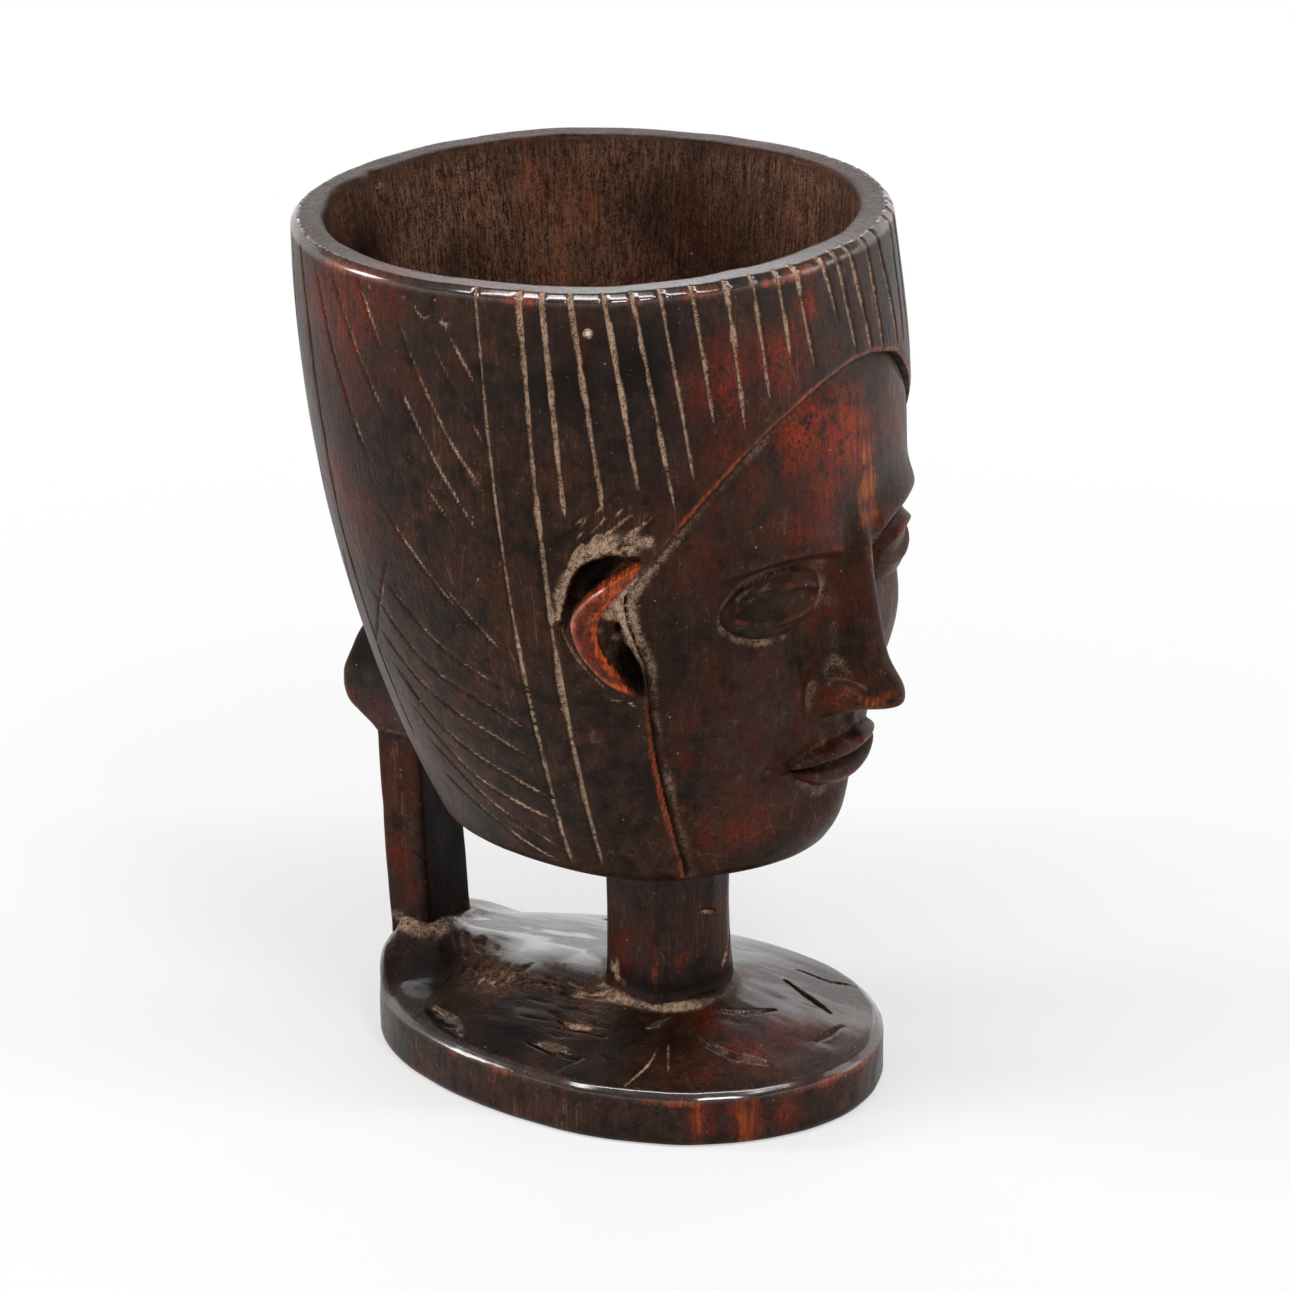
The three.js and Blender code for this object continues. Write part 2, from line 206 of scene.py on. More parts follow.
# %% [markdown]
# ## Hand-made unevenness
# Nothing cut with a knife is perfectly even. Smooth steps and bells give soft edges to a form or to paint,
# and a ripple is a smooth random height. It is seeded, so the cup comes out the same each time.

# %% Steps, bells and ripples
def unit(value):
    return np.clip(value, 0, 1)


def step(value, low, high):
    """0 below low, 1 above high and smooth between them."""
    share = unit((value - low) / (high - low))
    return share * share * (3 - 2 * share)


def bell(value, middle, wide):
    """1 in the middle, sinking to 0 on both sides."""
    return np.exp(-((value - middle) / wide) ** 2)


def bell_around(turn, middle, wide):
    """A bell on the circle of turns, which meets itself at 180 and -180 degrees."""
    return bell((turn - middle + 180) % 360 - 180, 0, wide)


def ripple(points, size, seed=0):
    """Smooth random height from -1 to 1, with lumps about size millimetres across."""
    where = np.asarray(points) / size + 100 + seed * 7.3
    cell = np.floor(where).astype(np.int64)
    share = where - cell
    share = share * share * (3 - 2 * share)
    factors, mask = (374761393, 668265263, 2147483647), 0xFFFFFFFF
    total = 0
    for corner in np.ndindex(2, 2, 2):
        mixed = (np.sum((cell + corner) * factors, -1) + seed * 9176) & mask
        mixed = ((mixed ^ (mixed >> 13)) * 1274126177) & mask
        height = ((mixed ^ (mixed >> 16)) & 0xFFFF) / 32767.5 - 1
        total = total + height * np.prod(np.where(corner, share, 1 - share), -1)
    return total


print("ripple at the origin:", round(float(ripple((0, 0, 0), 10)), 3))

# %% [markdown]
# ## Marks of the tools
# An adze leaves shallow dishes side by side, and a knife leaves rounded cuts along a line. Both come from
# how far a point lies from the nearest spot: of a shaken lattice for the dishes, of a curved line for a cut.

# %% Scallops and gouges
def nearest(points, line):
    """For every point: how far the line's closest point is, and which one it is."""
    tree = KDTree(len(line))
    for number, spot in enumerate(line):
        tree.insert(spot, number)
    tree.balance()
    found = [tree.find(spot) for spot in np.asarray(points).reshape(-1, 3)]
    shape = np.shape(points)[:-1]
    return np.array([f[2] for f in found]).reshape(shape), np.array([f[1] for f in found]).reshape(shape)


def scallops(points, size, seed):
    """Shallow dishes side by side, 0 in their middles and 1 on the ridges between them."""
    low, high = points.reshape(-1, 3).min(0) - size, points.reshape(-1, 3).max(0) + size
    steps = [np.arange(a, b, size) for a, b in zip(low, high)]
    lattice = np.stack(np.meshgrid(*steps, indexing="ij"), -1).reshape(-1, 3)
    centres = lattice + np.random.default_rng(seed).uniform(-0.38, 0.38, lattice.shape) * size
    return unit(nearest(points, centres)[0] / size) ** 2


def smooth_line(knots, spacing=0.4):
    """A curved line through the knots; each knot may carry more values, such as a width and a depth."""
    knots = np.asarray(knots, float)
    padded = np.vstack([2 * knots[0] - knots[1], knots, 2 * knots[-1] - knots[-2]])
    parts = []
    for i in range(len(knots) - 1):
        a, b, c, d = padded[i:i + 4]
        steps = max(2, int(np.linalg.norm((c - b)[:3]) / spacing))
        t = np.linspace(0, 1, steps, endpoint=False)[:, None]
        bend = (2 * a - 5 * b + 4 * c - d) * t ** 2 + (3 * b - a - 3 * c + d) * t ** 3
        parts.append(0.5 * (2 * b + (c - a) * t + bend))
    return np.vstack(parts + [knots[-1:]])


def walked(spots):
    """How far along a line of points each one lies."""
    return np.concatenate([[0], np.cumsum(np.linalg.norm(np.diff(spots, axis=0), axis=1))])


def gouge(points, path):
    """Depth of a rounded cut along a path of (x, y, z, half-width, depth)."""
    flat = points.reshape(-1, 3)
    depth = np.zeros(len(flat))
    reach = path[:, 3].max() + 1
    near = np.all((flat > path[:, :3].min(0) - reach) & (flat < path[:, :3].max(0) + reach), -1)
    for spot in path:
        share = np.linalg.norm(flat[near] - spot[:3], axis=1) / max(spot[3], 0.05)
        depth[near] = np.maximum(depth[near], spot[4] * np.sqrt(unit(1 - share ** 2)))
    return depth.reshape(points.shape[:-1])


def deepest(points, paths):
    return np.max([gouge(points, path) for path in paths], axis=0)


print("points on a line from 0 to 10:", len(smooth_line([(0, 0), (5, 1), (10, 0)])))

# %% [markdown]
# ## The form of the head
# From above, every level of the head is a rounded oval. The ovals grow and move back from the chin to the
# rim. A place on the head is a turn in degrees, counted from the middle of the face towards the side that
# the camera sees, and a height; out pushes it in or out of the wood.

# %% Places on the head
# each pair holds at the underside and at the rim
middle_ends, back_ends, front_ends, side_ends = (-6, 9.2), (41, 69.2), (-43, -50.8), (36, 65)
forehead_swell, oval_power = 10, 2.15


def head_oval(height):
    """The oval's middle, and how far it reaches to the side, to the front and to the back."""
    share = unit((height - underside) / (rim - underside))
    middle = between(*middle_ends, share)
    back = between(*back_ends, 1 - (1 - share) ** 2)
    front = between(*front_ends, share) - forehead_swell * np.sin(np.pi * share)
    side = between(*side_ends, 1 - (1 - share) ** 2.6)
    return middle, side, middle - front, back - middle


def on_head(turn, height, out=0.0):
    middle, side, front, back = head_oval(height)
    aside, ahead = np.sin(np.radians(turn)), np.cos(np.radians(turn))
    reach = np.where(ahead > 0, front, back)
    total = np.abs(aside / side) ** oval_power + np.abs(ahead / reach) ** oval_power
    radius = total ** (-1 / oval_power) + out
    return np.stack(np.broadcast_arrays(-radius * aside, middle - radius * ahead, height + 0 * radius), -1)


print("widest level, in mm:", round(2 * float(head_oval(rim)[1]), 1))

# %% [markdown]
# ## Columns that follow the knife
# The hair is a fan of almost upright cuts. If the sheet's columns ran straight down, each cut would cross
# them and look like a saw. So each cut guides one column, and the columns between are spread evenly. The edge
# of the hair beside the ear and jaw is one of the guides too. A guide is a list of heights and turns.

# %% Guide lines for the columns
hair_edge_turn = 52
hair_edge = [(190, 55), (148, 52), (133, 52.2), (129, 55.2), (127, 56.9), (124, 57.2), (120, 56.8),
             (116.4, 55.9), (111, 54.2), (99, 54.1), (89, 53.6), (79, 52.2), (68, 49.9), (56, 46.5)]
side_guides = {66: [(190, 66), (143, 66)], 60: [(190, 61), (144, 59)], 46: [(190, 50), (145, 46)],
               42: [(190, 45), (151, 42)], 37: [(190, 39), (159, 37)], 31: [(190, 32), (159, 31)],
               25: [(190, 26), (164, 25)], 79: [(190, 78), (105, 80), (75, 82), (65, 84)],
               72: [(190, 70), (68, 73)], hair_edge_turn: hair_edge}
guides = {180: [(190, 180)], -180: [(190, -180)],
          20: [(190, 20), (171, 19)], 14: [(190, 15), (169, 13)], 6: [(190, 7), (176, 4)],
          0: [(190, 2), (168, -1)], -5: [(190, -3), (165, -7)], -11: [(190, -10), (165, -12)],
          -18: [(190, -16), (165, -20)]}
for place, line in side_guides.items():
    guides[place] = line
    guides[-place] = [(height, -turn) for height, turn in line]
guide_places = sorted(guides)
table_heights = np.arange(50, 192, 0.5)


def guide_turn(place, height):
    line = np.array(sorted(guides[place]))
    return np.interp(height, line[:, 0], line[:, 1])


def follow_guides(columns, height):
    """Real turn of each column, given as its place among the guides, at each height."""
    places = np.array([guide_turn(place, table_heights) for place in guide_places])
    table = np.array([np.interp(columns, guide_places, turns) for turns in places.T])
    height = np.broadcast_to(height, (np.shape(height)[0], len(columns)))
    turns = [np.interp(height[:, i], table_heights, table[:, i]) for i in range(len(columns))]
    return np.stack(turns, 1)


def hairline(columns):
    """Height of the arch where the hair ends above the face."""
    return 167 - 34.11 * (columns / hair_edge_turn) ** 2


print(len(guides), "guide lines")

# %% [markdown]
# ## The hair grooves
# Two lines run from rim to jaw behind each ear. In front of them the cuts are upright, and behind them they
# slant in a herringbone. What the photograph hides, the middle of the back, is continued in the same way.
# Each cut is a list of turns and heights, with a strength for its depth and width.

# %% Lines of the grooves
slanting_cuts = [
    [(85, 182), (79, 168)], [(89, 180), (84, 168), (79, 156)], [(95, 182), (91, 168), (86, 156), (81, 148)],
    [(97, 168), (91, 153), (83, 137)], [(95, 148), (88, 137)], [(118, 186), (113, 164), (108, 149)],
    [(112, 186), (104, 166), (101, 159)], [(96, 126), (83, 111)], [(112, 121), (100, 110), (86, 103)],
    [(119, 117), (106, 104), (89, 97), (82, 93)], [(122, 108), (109, 97), (92, 90), (83, 86)],
    [(121, 100), (110, 88), (91, 80), (82, 77)], [(121, 91), (108, 79), (92, 73), (83, 71)],
    [(120, 83), (107, 73), (98, 68), (85, 63)], [(122, 75), (107, 66), (96, 61), (87, 59)],
    [(109, 127), (117, 115), (127, 103)], [(125, 188), (124.5, 160), (126, 128), (127, 103), (130, 80)],
    [(104, 187), (99, 172)], [(107, 140), (99, 128), (92, 119)],
    [(133, 187), (137, 160), (146, 128), (158, 100)], [(143, 187), (148, 160), (158, 131)],
    [(153, 187), (158, 165), (168, 145)], [(163, 187), (167, 172), (176, 158)],
    [(135, 140), (143, 118), (152, 100)], [(131, 122), (137, 104), (145, 92)]]
upright_cuts = [guides[place] for place in guide_places if abs(place) < 70 and abs(place) != hair_edge_turn]
upright_cuts += [[(190, 55), (148, 52.2)], [(190, -55), (148, -52.2)]]
grooves = []
for (top, top_turn), (low, low_turn) in upright_cuts:
    middle = (between(top_turn, low_turn, 0.5), between(top, low, 0.5))
    grooves.append(([(top_turn, top), middle, (low_turn, low)], 1.0))
for sign in (1, -1):
    grooves.append(([(sign * 78, 190), (sign * 80, 105), (sign * 82, 75), (sign * 84, 59)], 0.8))
    grooves.append(([(sign * 70, 190), (sign * 71.5, 128), (sign * 73, 59)], 1.0))
    grooves += [([(sign * turn, height) for turn, height in line], 0.62) for line in slanting_cuts]
grooves.append(([(180, 187), (180, 110)], 0.7))
print(len(grooves), "grooves")

# %% [markdown]
# ## Points along the grooves
# A knife goes in gently and comes out gently, so the strength of a cut fades over its last millimetres. Where
# a cut runs over the rim it stays strong, because the blade came in from there.

# %% Points and strengths of the grooves
groove_points, groove_strength = [], []
for line, strength in grooves:
    from_rim = 9 if line[0][1] > 186 else 0
    line = smooth_line([(turn, height, 0) for turn, height in line], 0.6)
    spots = on_head(line[:, 0], line[:, 1])
    way = walked(spots)
    to_end = np.minimum(way + from_rim, way[-1] - way)
    groove_points.append(spots)
    groove_strength.append(strength * unit(0.25 + to_end / 6))
groove_points, groove_strength = np.vstack(groove_points), np.concatenate(groove_strength)
print(len(groove_points), "points along the grooves")

# %% [markdown]
# ## Around the ear
# The carver scooped the wood away behind and inside the ear, and a fan of small knife cuts shows where the
# blade turned. Each scoop is a path of turn, height, half-width and depth. Each stroke has a start and an
# end, given by turn and height. A few more strokes cross below the rim.

# %% Scoops and strokes around the ears
ear_scoops = [
    [(53.6, 134.8, .5, .9), (57, 134.9, 1, 2), (60, 133.4, 2, 3.3), (62.8, 131.2, 2.8, 3.9),
     (65.2, 128.2, 2.4, 3.6), (67.4, 124.8, 1.4, 2.6), (69, 121, .9, 1.6), (69.9, 117.5, .6, .8),
     (68.3, 112.5, .5, .4)],
    [(60.8, 116.8, 1.2, 1.8), (58.9, 115, 2, 3.3), (57.5, 111.5, 2.2, 3.9), (56.1, 108, 1.6, 3.4),
     (55.5, 105.6, .8, 1.6)],
    [(60.2, 124.5, 1.5, .9), (60.4, 121, 2.2, 1.4), (59.4, 118, 2.3, 1.5)],
    [(58.8, 120.2, 1, 2.6), (58.7, 119.4, 1, 2.6)]]
ear_strokes = [
    (58.4, 141.6, 51.7, 146.1), (59.8, 140.1, 55.5, 143), (65.4, 135.7, 62.2, 139.6),
    (65.2, 141.8, 60.8, 145.3), (67, 132.2, 64.5, 136.7), (62.5, 140.1, 58.2, 143.9),
    (68, 127.8, 66.4, 132.2), (60.8, 142, 57.4, 144.9), (55.8, 139.7, 50.3, 143.7),
    (64.7, 138.6, 62.4, 142), (57.5, 143.8, 54.2, 147.2), (63.9, 141.2, 61.5, 144.2),
    (53.6, 141.2, 49.2, 145), (66.2, 134.2, 63.7, 138.2), (62, 138.6, 59.4, 141.2),
    (60.4, 144.6, 58.6, 147), (58.1, 136.8, 52.8, 137.9), (57.7, 136.1, 52.5, 137),
    (57.4, 135.5, 52.7, 136), (63.6, 104.5, 59.8, 102.5), (58.8, 103.6, 56.2, 101.5),
    (62.5, 103.6, 58.6, 103.1)]
rim_strokes = [(91.4, 184.6, 88.6, 182), (89.9, 181.9, 87.3, 183.7), (86.9, 183, 84, 181.5),
               (85.4, 183.9, 84.5, 180), (90.6, 185.4, 90.8, 183), (83.2, 182.3, 86, 181.8)]


def on_sides(paths, signs=(1, -1)):
    """Paths of turns and heights on the head, and their mirror images, as lines of x, y, z and the rest."""
    lines = []
    for path in paths:
        line = smooth_line(path)
        lines += [np.hstack([on_head(sign * line[:, 0], line[:, 1]), line[:, 2:]]) for sign in signs]
    return lines


scoop_lines = on_sides(ear_scoops)
stroke_lines = on_sides([[(a, b, .25, .1), ((a + c) / 2 + 0.2, (b + d) / 2, .45, .38), (c, d, .2, .1)]
                         for a, b, c, d in ear_strokes])
stroke_lines += on_sides([[(a, b, .2, .1), ((a + c) / 2, (b + d) / 2 - 0.2, .5, .4), (c, d, .2, .1)]
                          for a, b, c, d in rim_strokes], signs=(1,))
print(len(scoop_lines), "scoops and", len(stroke_lines), "strokes")

# %% [markdown]
# ## Edges that catch dust
# A band of dust lies in the arch over the ear and along a ridge behind it, and the step between hair and face
# is worn. All three are lines on the head, and the paint later asks how near a point lies to them.

# %% Lines of the arch, the ridge and the edge of the hair
arch_line = np.vstack(on_sides([[(51.5, 138.8), (54.6, 139.7), (58.7, 138.7), (62.1, 136.8), (64.8, 133.8),
                                 (67.1, 130.3), (68.6, 126.2), (69.8, 122.2)]]))
ridge_line = np.vstack(on_sides([[(70, 119.2), (68.5, 114.9), (66, 110.5), (62.9, 106.6)]]))
edge_heights = np.arange(58, 134, 0.5)
edge_turns = np.arange(-hair_edge_turn, hair_edge_turn + 0.1, 0.5)
edge_spots = [on_head(sign * guide_turn(hair_edge_turn, edge_heights), edge_heights) for sign in (1, -1)]
edge_spots.append(on_head(follow_guides(edge_turns, hairline(edge_turns)[None, :])[0], hairline(edge_turns)))
edge_spots = np.vstack(edge_spots)
print(len(edge_spots), "points along the edge of the hair")

# %% [markdown]
# ## Spots of paint
# Years of handling leave the wood blotched: redder here, blacker there, and a few red spots stand in for a
# sheen. Each blotch is a soft spot. On the head it is given by turn, height, radius and strength, which is
# easier to place than x, y and z.

# %% Soft spots on the hair
def soft_spots(points, spots):
    """Painted blobs: each spot is x, y, z, radius and strength; the strongest at a place counts."""
    total = np.zeros(points.shape[:-1])
    for x, y, z, radius, strength in spots:
        total = np.maximum(total, strength * np.exp(-np.sum((points - (x, y, z)) ** 2, -1) / radius ** 2))
    return total


def head_spots(points, spots, out=0.0, tall=1.0):
    """Blobs on the head, tall times as high as wide: each spot is turn, height, radius and strength."""
    scale = (1, 1, 1 / tall)
    return soft_spots(points * scale, [(*(on_head(turn, height, out) * scale), radius, strength)
                                       for turn, height, radius, strength in spots])


# the wide red spots far behind the ear are partly a painted sheen of the light from the side
hair_red_and_sheen_spots = [
    (36, 170, 13, .85), (22, 174, 13, .85), (60, 180, 10, .55), (12, 182, 10, .8), (70, 183, 8, .5),
    (34, 156, 10, .6), (96, 168, 14, .5), (122, 140, 10, .5), (124, 120, 9, .5), (8, 172, 8, .6),
    (-30, 165, 20, .5), (-70, 150, 22, .4), (-110, 110, 24, .5), (170, 120, 26, .5), (60, 76, 10, .35),
    (110, 176, 25, .72), (116, 140, 23, .6), (84, 174, 13, .4), (48, 150, 8, .4)]
chip_spots = [(58.4, 182.4, .8, 3), (93, 186, .8, .6), (101, 186.5, .8, .6)]
ear_dust_spots = [
    (60.3, 122.6, 1.7, .9), (62, 119.4, 1.3, .45), (58.8, 124.6, 1.6, .9), (59.6, 117.6, 1, .3),
    (-60.3, 122.6, 1.7, .9), (-62, 119.4, 1.3, .8), (-58.8, 124.6, 1.6, .9)]
print(len(hair_red_and_sheen_spots), "red spots,", len(chip_spots + ear_dust_spots), "pale ones")

# %% [markdown]
# ## The grid of the hair
# The rows lean to the arch of the hairline, so the hair ends on a clean edge above the face. They crowd
# towards the rim, where the grooves start. The last rows round the wall into the underside.

# %% Rows and columns of the outside
hair_rows, wall_rows, turn_rows = 97, 224, 8
columns = np.arange(-180, 180.1, 0.5)
in_face = np.abs(columns) <= hair_edge_turn
first, last = np.flatnonzero(in_face)[[0, -1]]
under_round = 2.8
wall_foot = underside + under_round
tuck = np.radians(np.linspace(0, 90, turn_rows + 1)[1:])[:, None]


def rounded_under(turn, height):
    """Adds the rows that round the foot of the wall into the underside."""
    rows = np.broadcast_to(wall_foot - under_round * np.sin(tuck), (turn_rows, turn.shape[1]))
    return np.vstack([turn, np.repeat(turn[-1:], turn_rows, 0)]), np.vstack([height, rows])


row = np.arange(wall_rows + 1)[:, None]
row = np.where(row < hair_rows, hair_rows * (row / hair_rows) ** 1.25, row)
level = rim - (rim - wall_foot) * row / wall_rows
arch_height = hairline(columns)[None, :]
above = rim - (rim - arch_height) * row / hair_rows
below = arch_height - (arch_height - wall_foot) * (row - hair_rows) / (wall_rows - hair_rows)
hair_height = np.where(in_face[None, :], np.where(row <= hair_rows, above, below), level)
hair_turn, hair_height = rounded_under(follow_guides(columns, hair_height), hair_height)
print("outside grid:", hair_height.shape)

# %% [markdown]
# ## Cutting the hair
# Every tool mark becomes a depth at each point: the grooves, the scoops and strokes at the ear, the softened
# edge beside the face and the rounding under the rim. Slow ripples stand for the hand-shaped surface.

# %% Depth of the cuts in the hair
base = on_head(hair_turn, hair_height)
aside = np.abs(hair_turn)
groove_far, number = nearest(base, groove_points)
strength = groove_strength[number]
groove_half = 0.7 * (0.5 + 0.5 * strength) * (1 + 0.25 * ripple(base, 4, 1))
cut = unit(1 - (groove_far / groove_half) ** 2) * strength
scoop, scratch = deepest(base, scoop_lines), deepest(base, stroke_lines)
arch = bell(nearest(base, arch_line)[0], 0, 1.9)
ridge = bell(nearest(base, ridge_line)[0], 0, 0.5)
edge_far = nearest(base, edge_spots)[0]
groove_depth, edge_depth, arch_depth = 0.75, 0.45, 0.5
hair_out = -groove_depth * cut - edge_depth * bell(edge_far, 0, 0.8) - scoop - scratch - arch_depth * arch
hair_out += 0.16 * ripple(base, 13, 2) + 0.07 * ripple(base * (1, 1, 0.35), 3.5, 3)
hair_out -= 0.6 * bell_around(hair_turn, 118, 40) + 0.2 * np.log1p(np.exp((hair_height - rim + 1.35) / 0.2))
hair_out[-turn_rows:] -= under_round * (1 - np.cos(tuck))
print("deepest cut, in mm:", round(float(scoop.max()), 1))

# %% [markdown]
# ## Painting the hair
# Dust fills the grooves, and the ear's scoops near their edges; where it piles up on the ear's arch it turns
# white, a painted highlight. Wear shows on the rim and beside the face. The deep scoops are painted black as
# shade, soot blackens a patch above the temple, and the wax is thickest on the rim's corner.

# %% Paint of the hair
near_ear = bell(hair_height, 122, 16) * (aside < 72)
grain = ripple(base, 2.6, 4)
film = 0.5 * near_ear * bell(aside, 61, 9) + 0.25 * bell(hair_height, 70, 14) * (aside > 84)
dust = unit(1.5 * cut * (0.95 + 0.3 * grain + 0.35 * ripple(base, 9, 17)) * np.where(aside > 104, 0.7, 1))
dust += unit(1.05 * arch * (0.8 + 0.35 * grain) * (scoop < 0.8)) + np.clip(scratch * 2.2, 0, 0.8)
dust += 0.75 * near_ear * bell(edge_far, 0, 1.5) * (scoop < 2.2) + 0.6 * ridge
dust += head_spots(base, chip_spots + ear_dust_spots) + film * unit(0.5 + ripple(base, 4.5, 14))
edge_wear = 0.95 * bell(edge_far, 0.6, 0.9) * between(1, 0.12, near_ear) * (0.85 + 0.25 * ripple(base, 7, 15))
rim_wear = 0.8 * bell(hair_height, rim - 1.5, 1.8) * (0.55 + 0.9 * ripple(base, 8, 16))
temple = 0.85 * bell(hair_height, 174, 13) * bell(hair_turn, 54, 20) * unit(0.7 * ripple(base, 5, 19) + 0.8)
forehead_wax = 0.12 * step(hair_height, 138, 180) * bell(hair_turn, 35, 62)
hair_paint = {
    # the black of the scoops deeper than 1.5 mm is painted shade
    "dust": dust, "wear": unit(edge_wear + rim_wear), "soot": unit(unit((scoop - 1.5) / 0.9) + temple),
    "red": head_spots(base, hair_red_and_sheen_spots),
    "wax": unit(forehead_wax + step(hair_height, rim - 2.6, rim - 1.0))}
print("strongest dust:", round(float(dust.max()), 2))

# %% [markdown]
# ## Sheets of the outside
# The bowl is the hair outside, the rim and the hollow inside. The seam of the map lies at both edges of the
# face. Between them the bowl has a shallow seat in which the face sits, cut straight down at its edges.

# %% The outside and the seat of the face
def wave(turn, seed=0):
    """Slow up and down around the rim."""
    circle = np.stack([np.cos(np.radians(turn)), np.sin(np.radians(turn)), 0 * turn], -1) * 65
    return ripple(circle, 26, 5 + seed) + 0.4 * ripple(circle, 9, 6 + seed)


def hair_sheet(rows, across, patch):
    paint = {key: values[rows, across] for key, values in hair_paint.items()}
    bowl.sheet(outside[rows, across], patch, **paint)


bowl = Carving("head_bowl")
lift = (0.55 * wave(hair_turn) + 0.5 * step(aside, 90, 140)) * unit((hair_height - 165) / 25) ** 2
outside = on_head(hair_turn, hair_height, hair_out)
outside[..., 2] += lift
seat_depth = 7.25
seat = on_head(hair_turn, hair_height, np.full(hair_out.shape, -seat_depth))
front = slice(first, last + 1)
hair_sheet(slice(None), slice(last, None), (0, 0.42, 0.35, 0.99))
hair_sheet(slice(None), slice(0, first + 1), (0.36, 0.42, 0.71, 0.99))
hair_sheet(slice(0, hair_rows + 1), front, (0.72, 0.62, 0.995, 0.99))
# The walls of the step from the hair down to the seat are painted dark as shade, with dust beside the ear.
bowl.strip(outside[hair_rows, front], seat[hair_rows, front], (0.72, 0.59, 0.995, 0.61), soot=0.6)
for column, low in ((first, 0.57), (last, 0.55)):
    at_ear = bell(hair_height[hair_rows:, column], 121, 13)
    bowl.strip(outside[hair_rows:, column], seat[hair_rows:, column], (0.72, low, 0.995, low + 0.01),
               soot=0.6 * (1 - at_ear), dust=0.75 * at_ear)
seat = seat[hair_rows:]
# The hidden seat is painted dark as shade.
bowl.coarse(seat[:, front], (0.72, 0.42, 0.995, 0.54), (len(seat) - 1) // 15, 16, soot=0.4)
print("rim rises by up to", round(float(lift.max()), 2), "mm")

# %% [markdown]
# ## The rim
# The rim is a hand-cut band of end grain. Its outer edge follows the hair, and its inner edge wanders in and
# out, so the wall is thicker in some places than in others. Two dents in the inner edge lie at the back.

# %% Sheet of the rim
rim_turn = hair_turn[0]
rim_round, rim_wall, floor_wall = 1.3, 7.6, 14
inner_edge = 7.4 + 0.55 * wave(rim_turn, 3) + 0.35 * np.abs(wave(rim_turn, 4))
inner_edge -= 1.8 * bell_around(rim_turn, 161, 9) + 1.3 * bell_around(rim_turn, 176.5, 2.2)
shares = np.linspace(0, 1, 8)[:, None]
rim_points = on_head(rim_turn, rim + 0 * shares, between(hair_out[0], rim_round - inner_edge, shares))
rim_points[..., 2] += lift[0] + 0.12 * ripple(rim_points, 5, 8) * np.sin(np.pi * shares)
bowl.sheet(rim_points, (0, 0.385, 0.995, 0.41), wear=0.25 * bell(shares, 1, 0.12), dust=0.16,
           red=0.35 + 0.3 * ripple(rim_points, 15, 9), wax=0.35 * bell(rim_turn, 42, 45))
print("wall at the rim, in mm:", round(float(inner_edge.min()), 1), "to", round(float(inner_edge.max()), 1))

# %% [markdown]
# ## The hollow
# The carver hollowed the head with long upright chisel strokes down to a rounded floor. The wall grows
# thicker on the way down. Inside, where less is seen, the columns are three times wider apart.

# %% Points of the hollow
def of_length_one(arrows):
    return arrows / np.linalg.norm(arrows, axis=-1, keepdims=True)


cavity_foot, cavity_floor, floor_round = 84.0, underside + 16, 12
down = np.linspace(0, 1, 45)[1:, None]
rim_arc = np.radians(np.linspace(0, 90, 4)[1:])[:, None]
fillet = np.radians(np.linspace(0, 90, 9)[1:])[:, None]
inside_height = np.vstack([rim - rim_round * (1 - np.cos(rim_arc)),
                           rim - rim_round - (rim - rim_round - cavity_foot) * down,
                           cavity_foot - floor_round * np.sin(fillet)])
wall = np.vstack([inner_edge - rim_round + rim_round * np.sin(rim_arc),
                  between(rim_wall, floor_wall, down) + (inner_edge - rim_wall) * (1 - unit(down * 7)),
                  floor_wall + floor_round * (1 - np.cos(fillet)) + 0 * inner_edge])
inside = on_head(rim_turn, inside_height, -wall)
chisel = 0.5 * scallops(inside * (1, 1, 0.16), 6.5, 21) + 0.25 * ripple(inside, 11, 11)
outward = inside * (1, 1, 0)
outward[..., 1] -= head_oval(inside_height)[0]
inside -= of_length_one(outward) * (chisel * unit((rim - inside_height) / 14))[..., None]
inside[..., 2] += lift[0] * unit(1 - (rim - inside_height) / 25)
bowl.coarse(np.stack([rim_points[-1], inside[0]]), (0, 0.37, 0.995, 0.38), 1, 3, fine="top",
            wear=0.45, red=0.3, dust=0.2)
inside = inside[:, ::3]
floor_middle = np.array([0, head_oval(cavity_floor)[0], cavity_floor])
inside = np.concatenate([inside, shrinking(inside[-1], floor_middle, 9)[1:]])
print("hollow grid:", inside.shape)

# %% [markdown]
# ## Painting the hollow
# The wall inside was never waxed, so it is bare, with dark stains from the drink, painted shade that darkens
# it further down, and a pale patch that is partly dust and partly painted light. The stains run in upright
# streaks, as the wood's fibres do.

# %% Paint and sheet of the hollow
def inside_spots(spots, tall=1.0):
    return head_spots(inside, spots, out=-9, tall=tall)


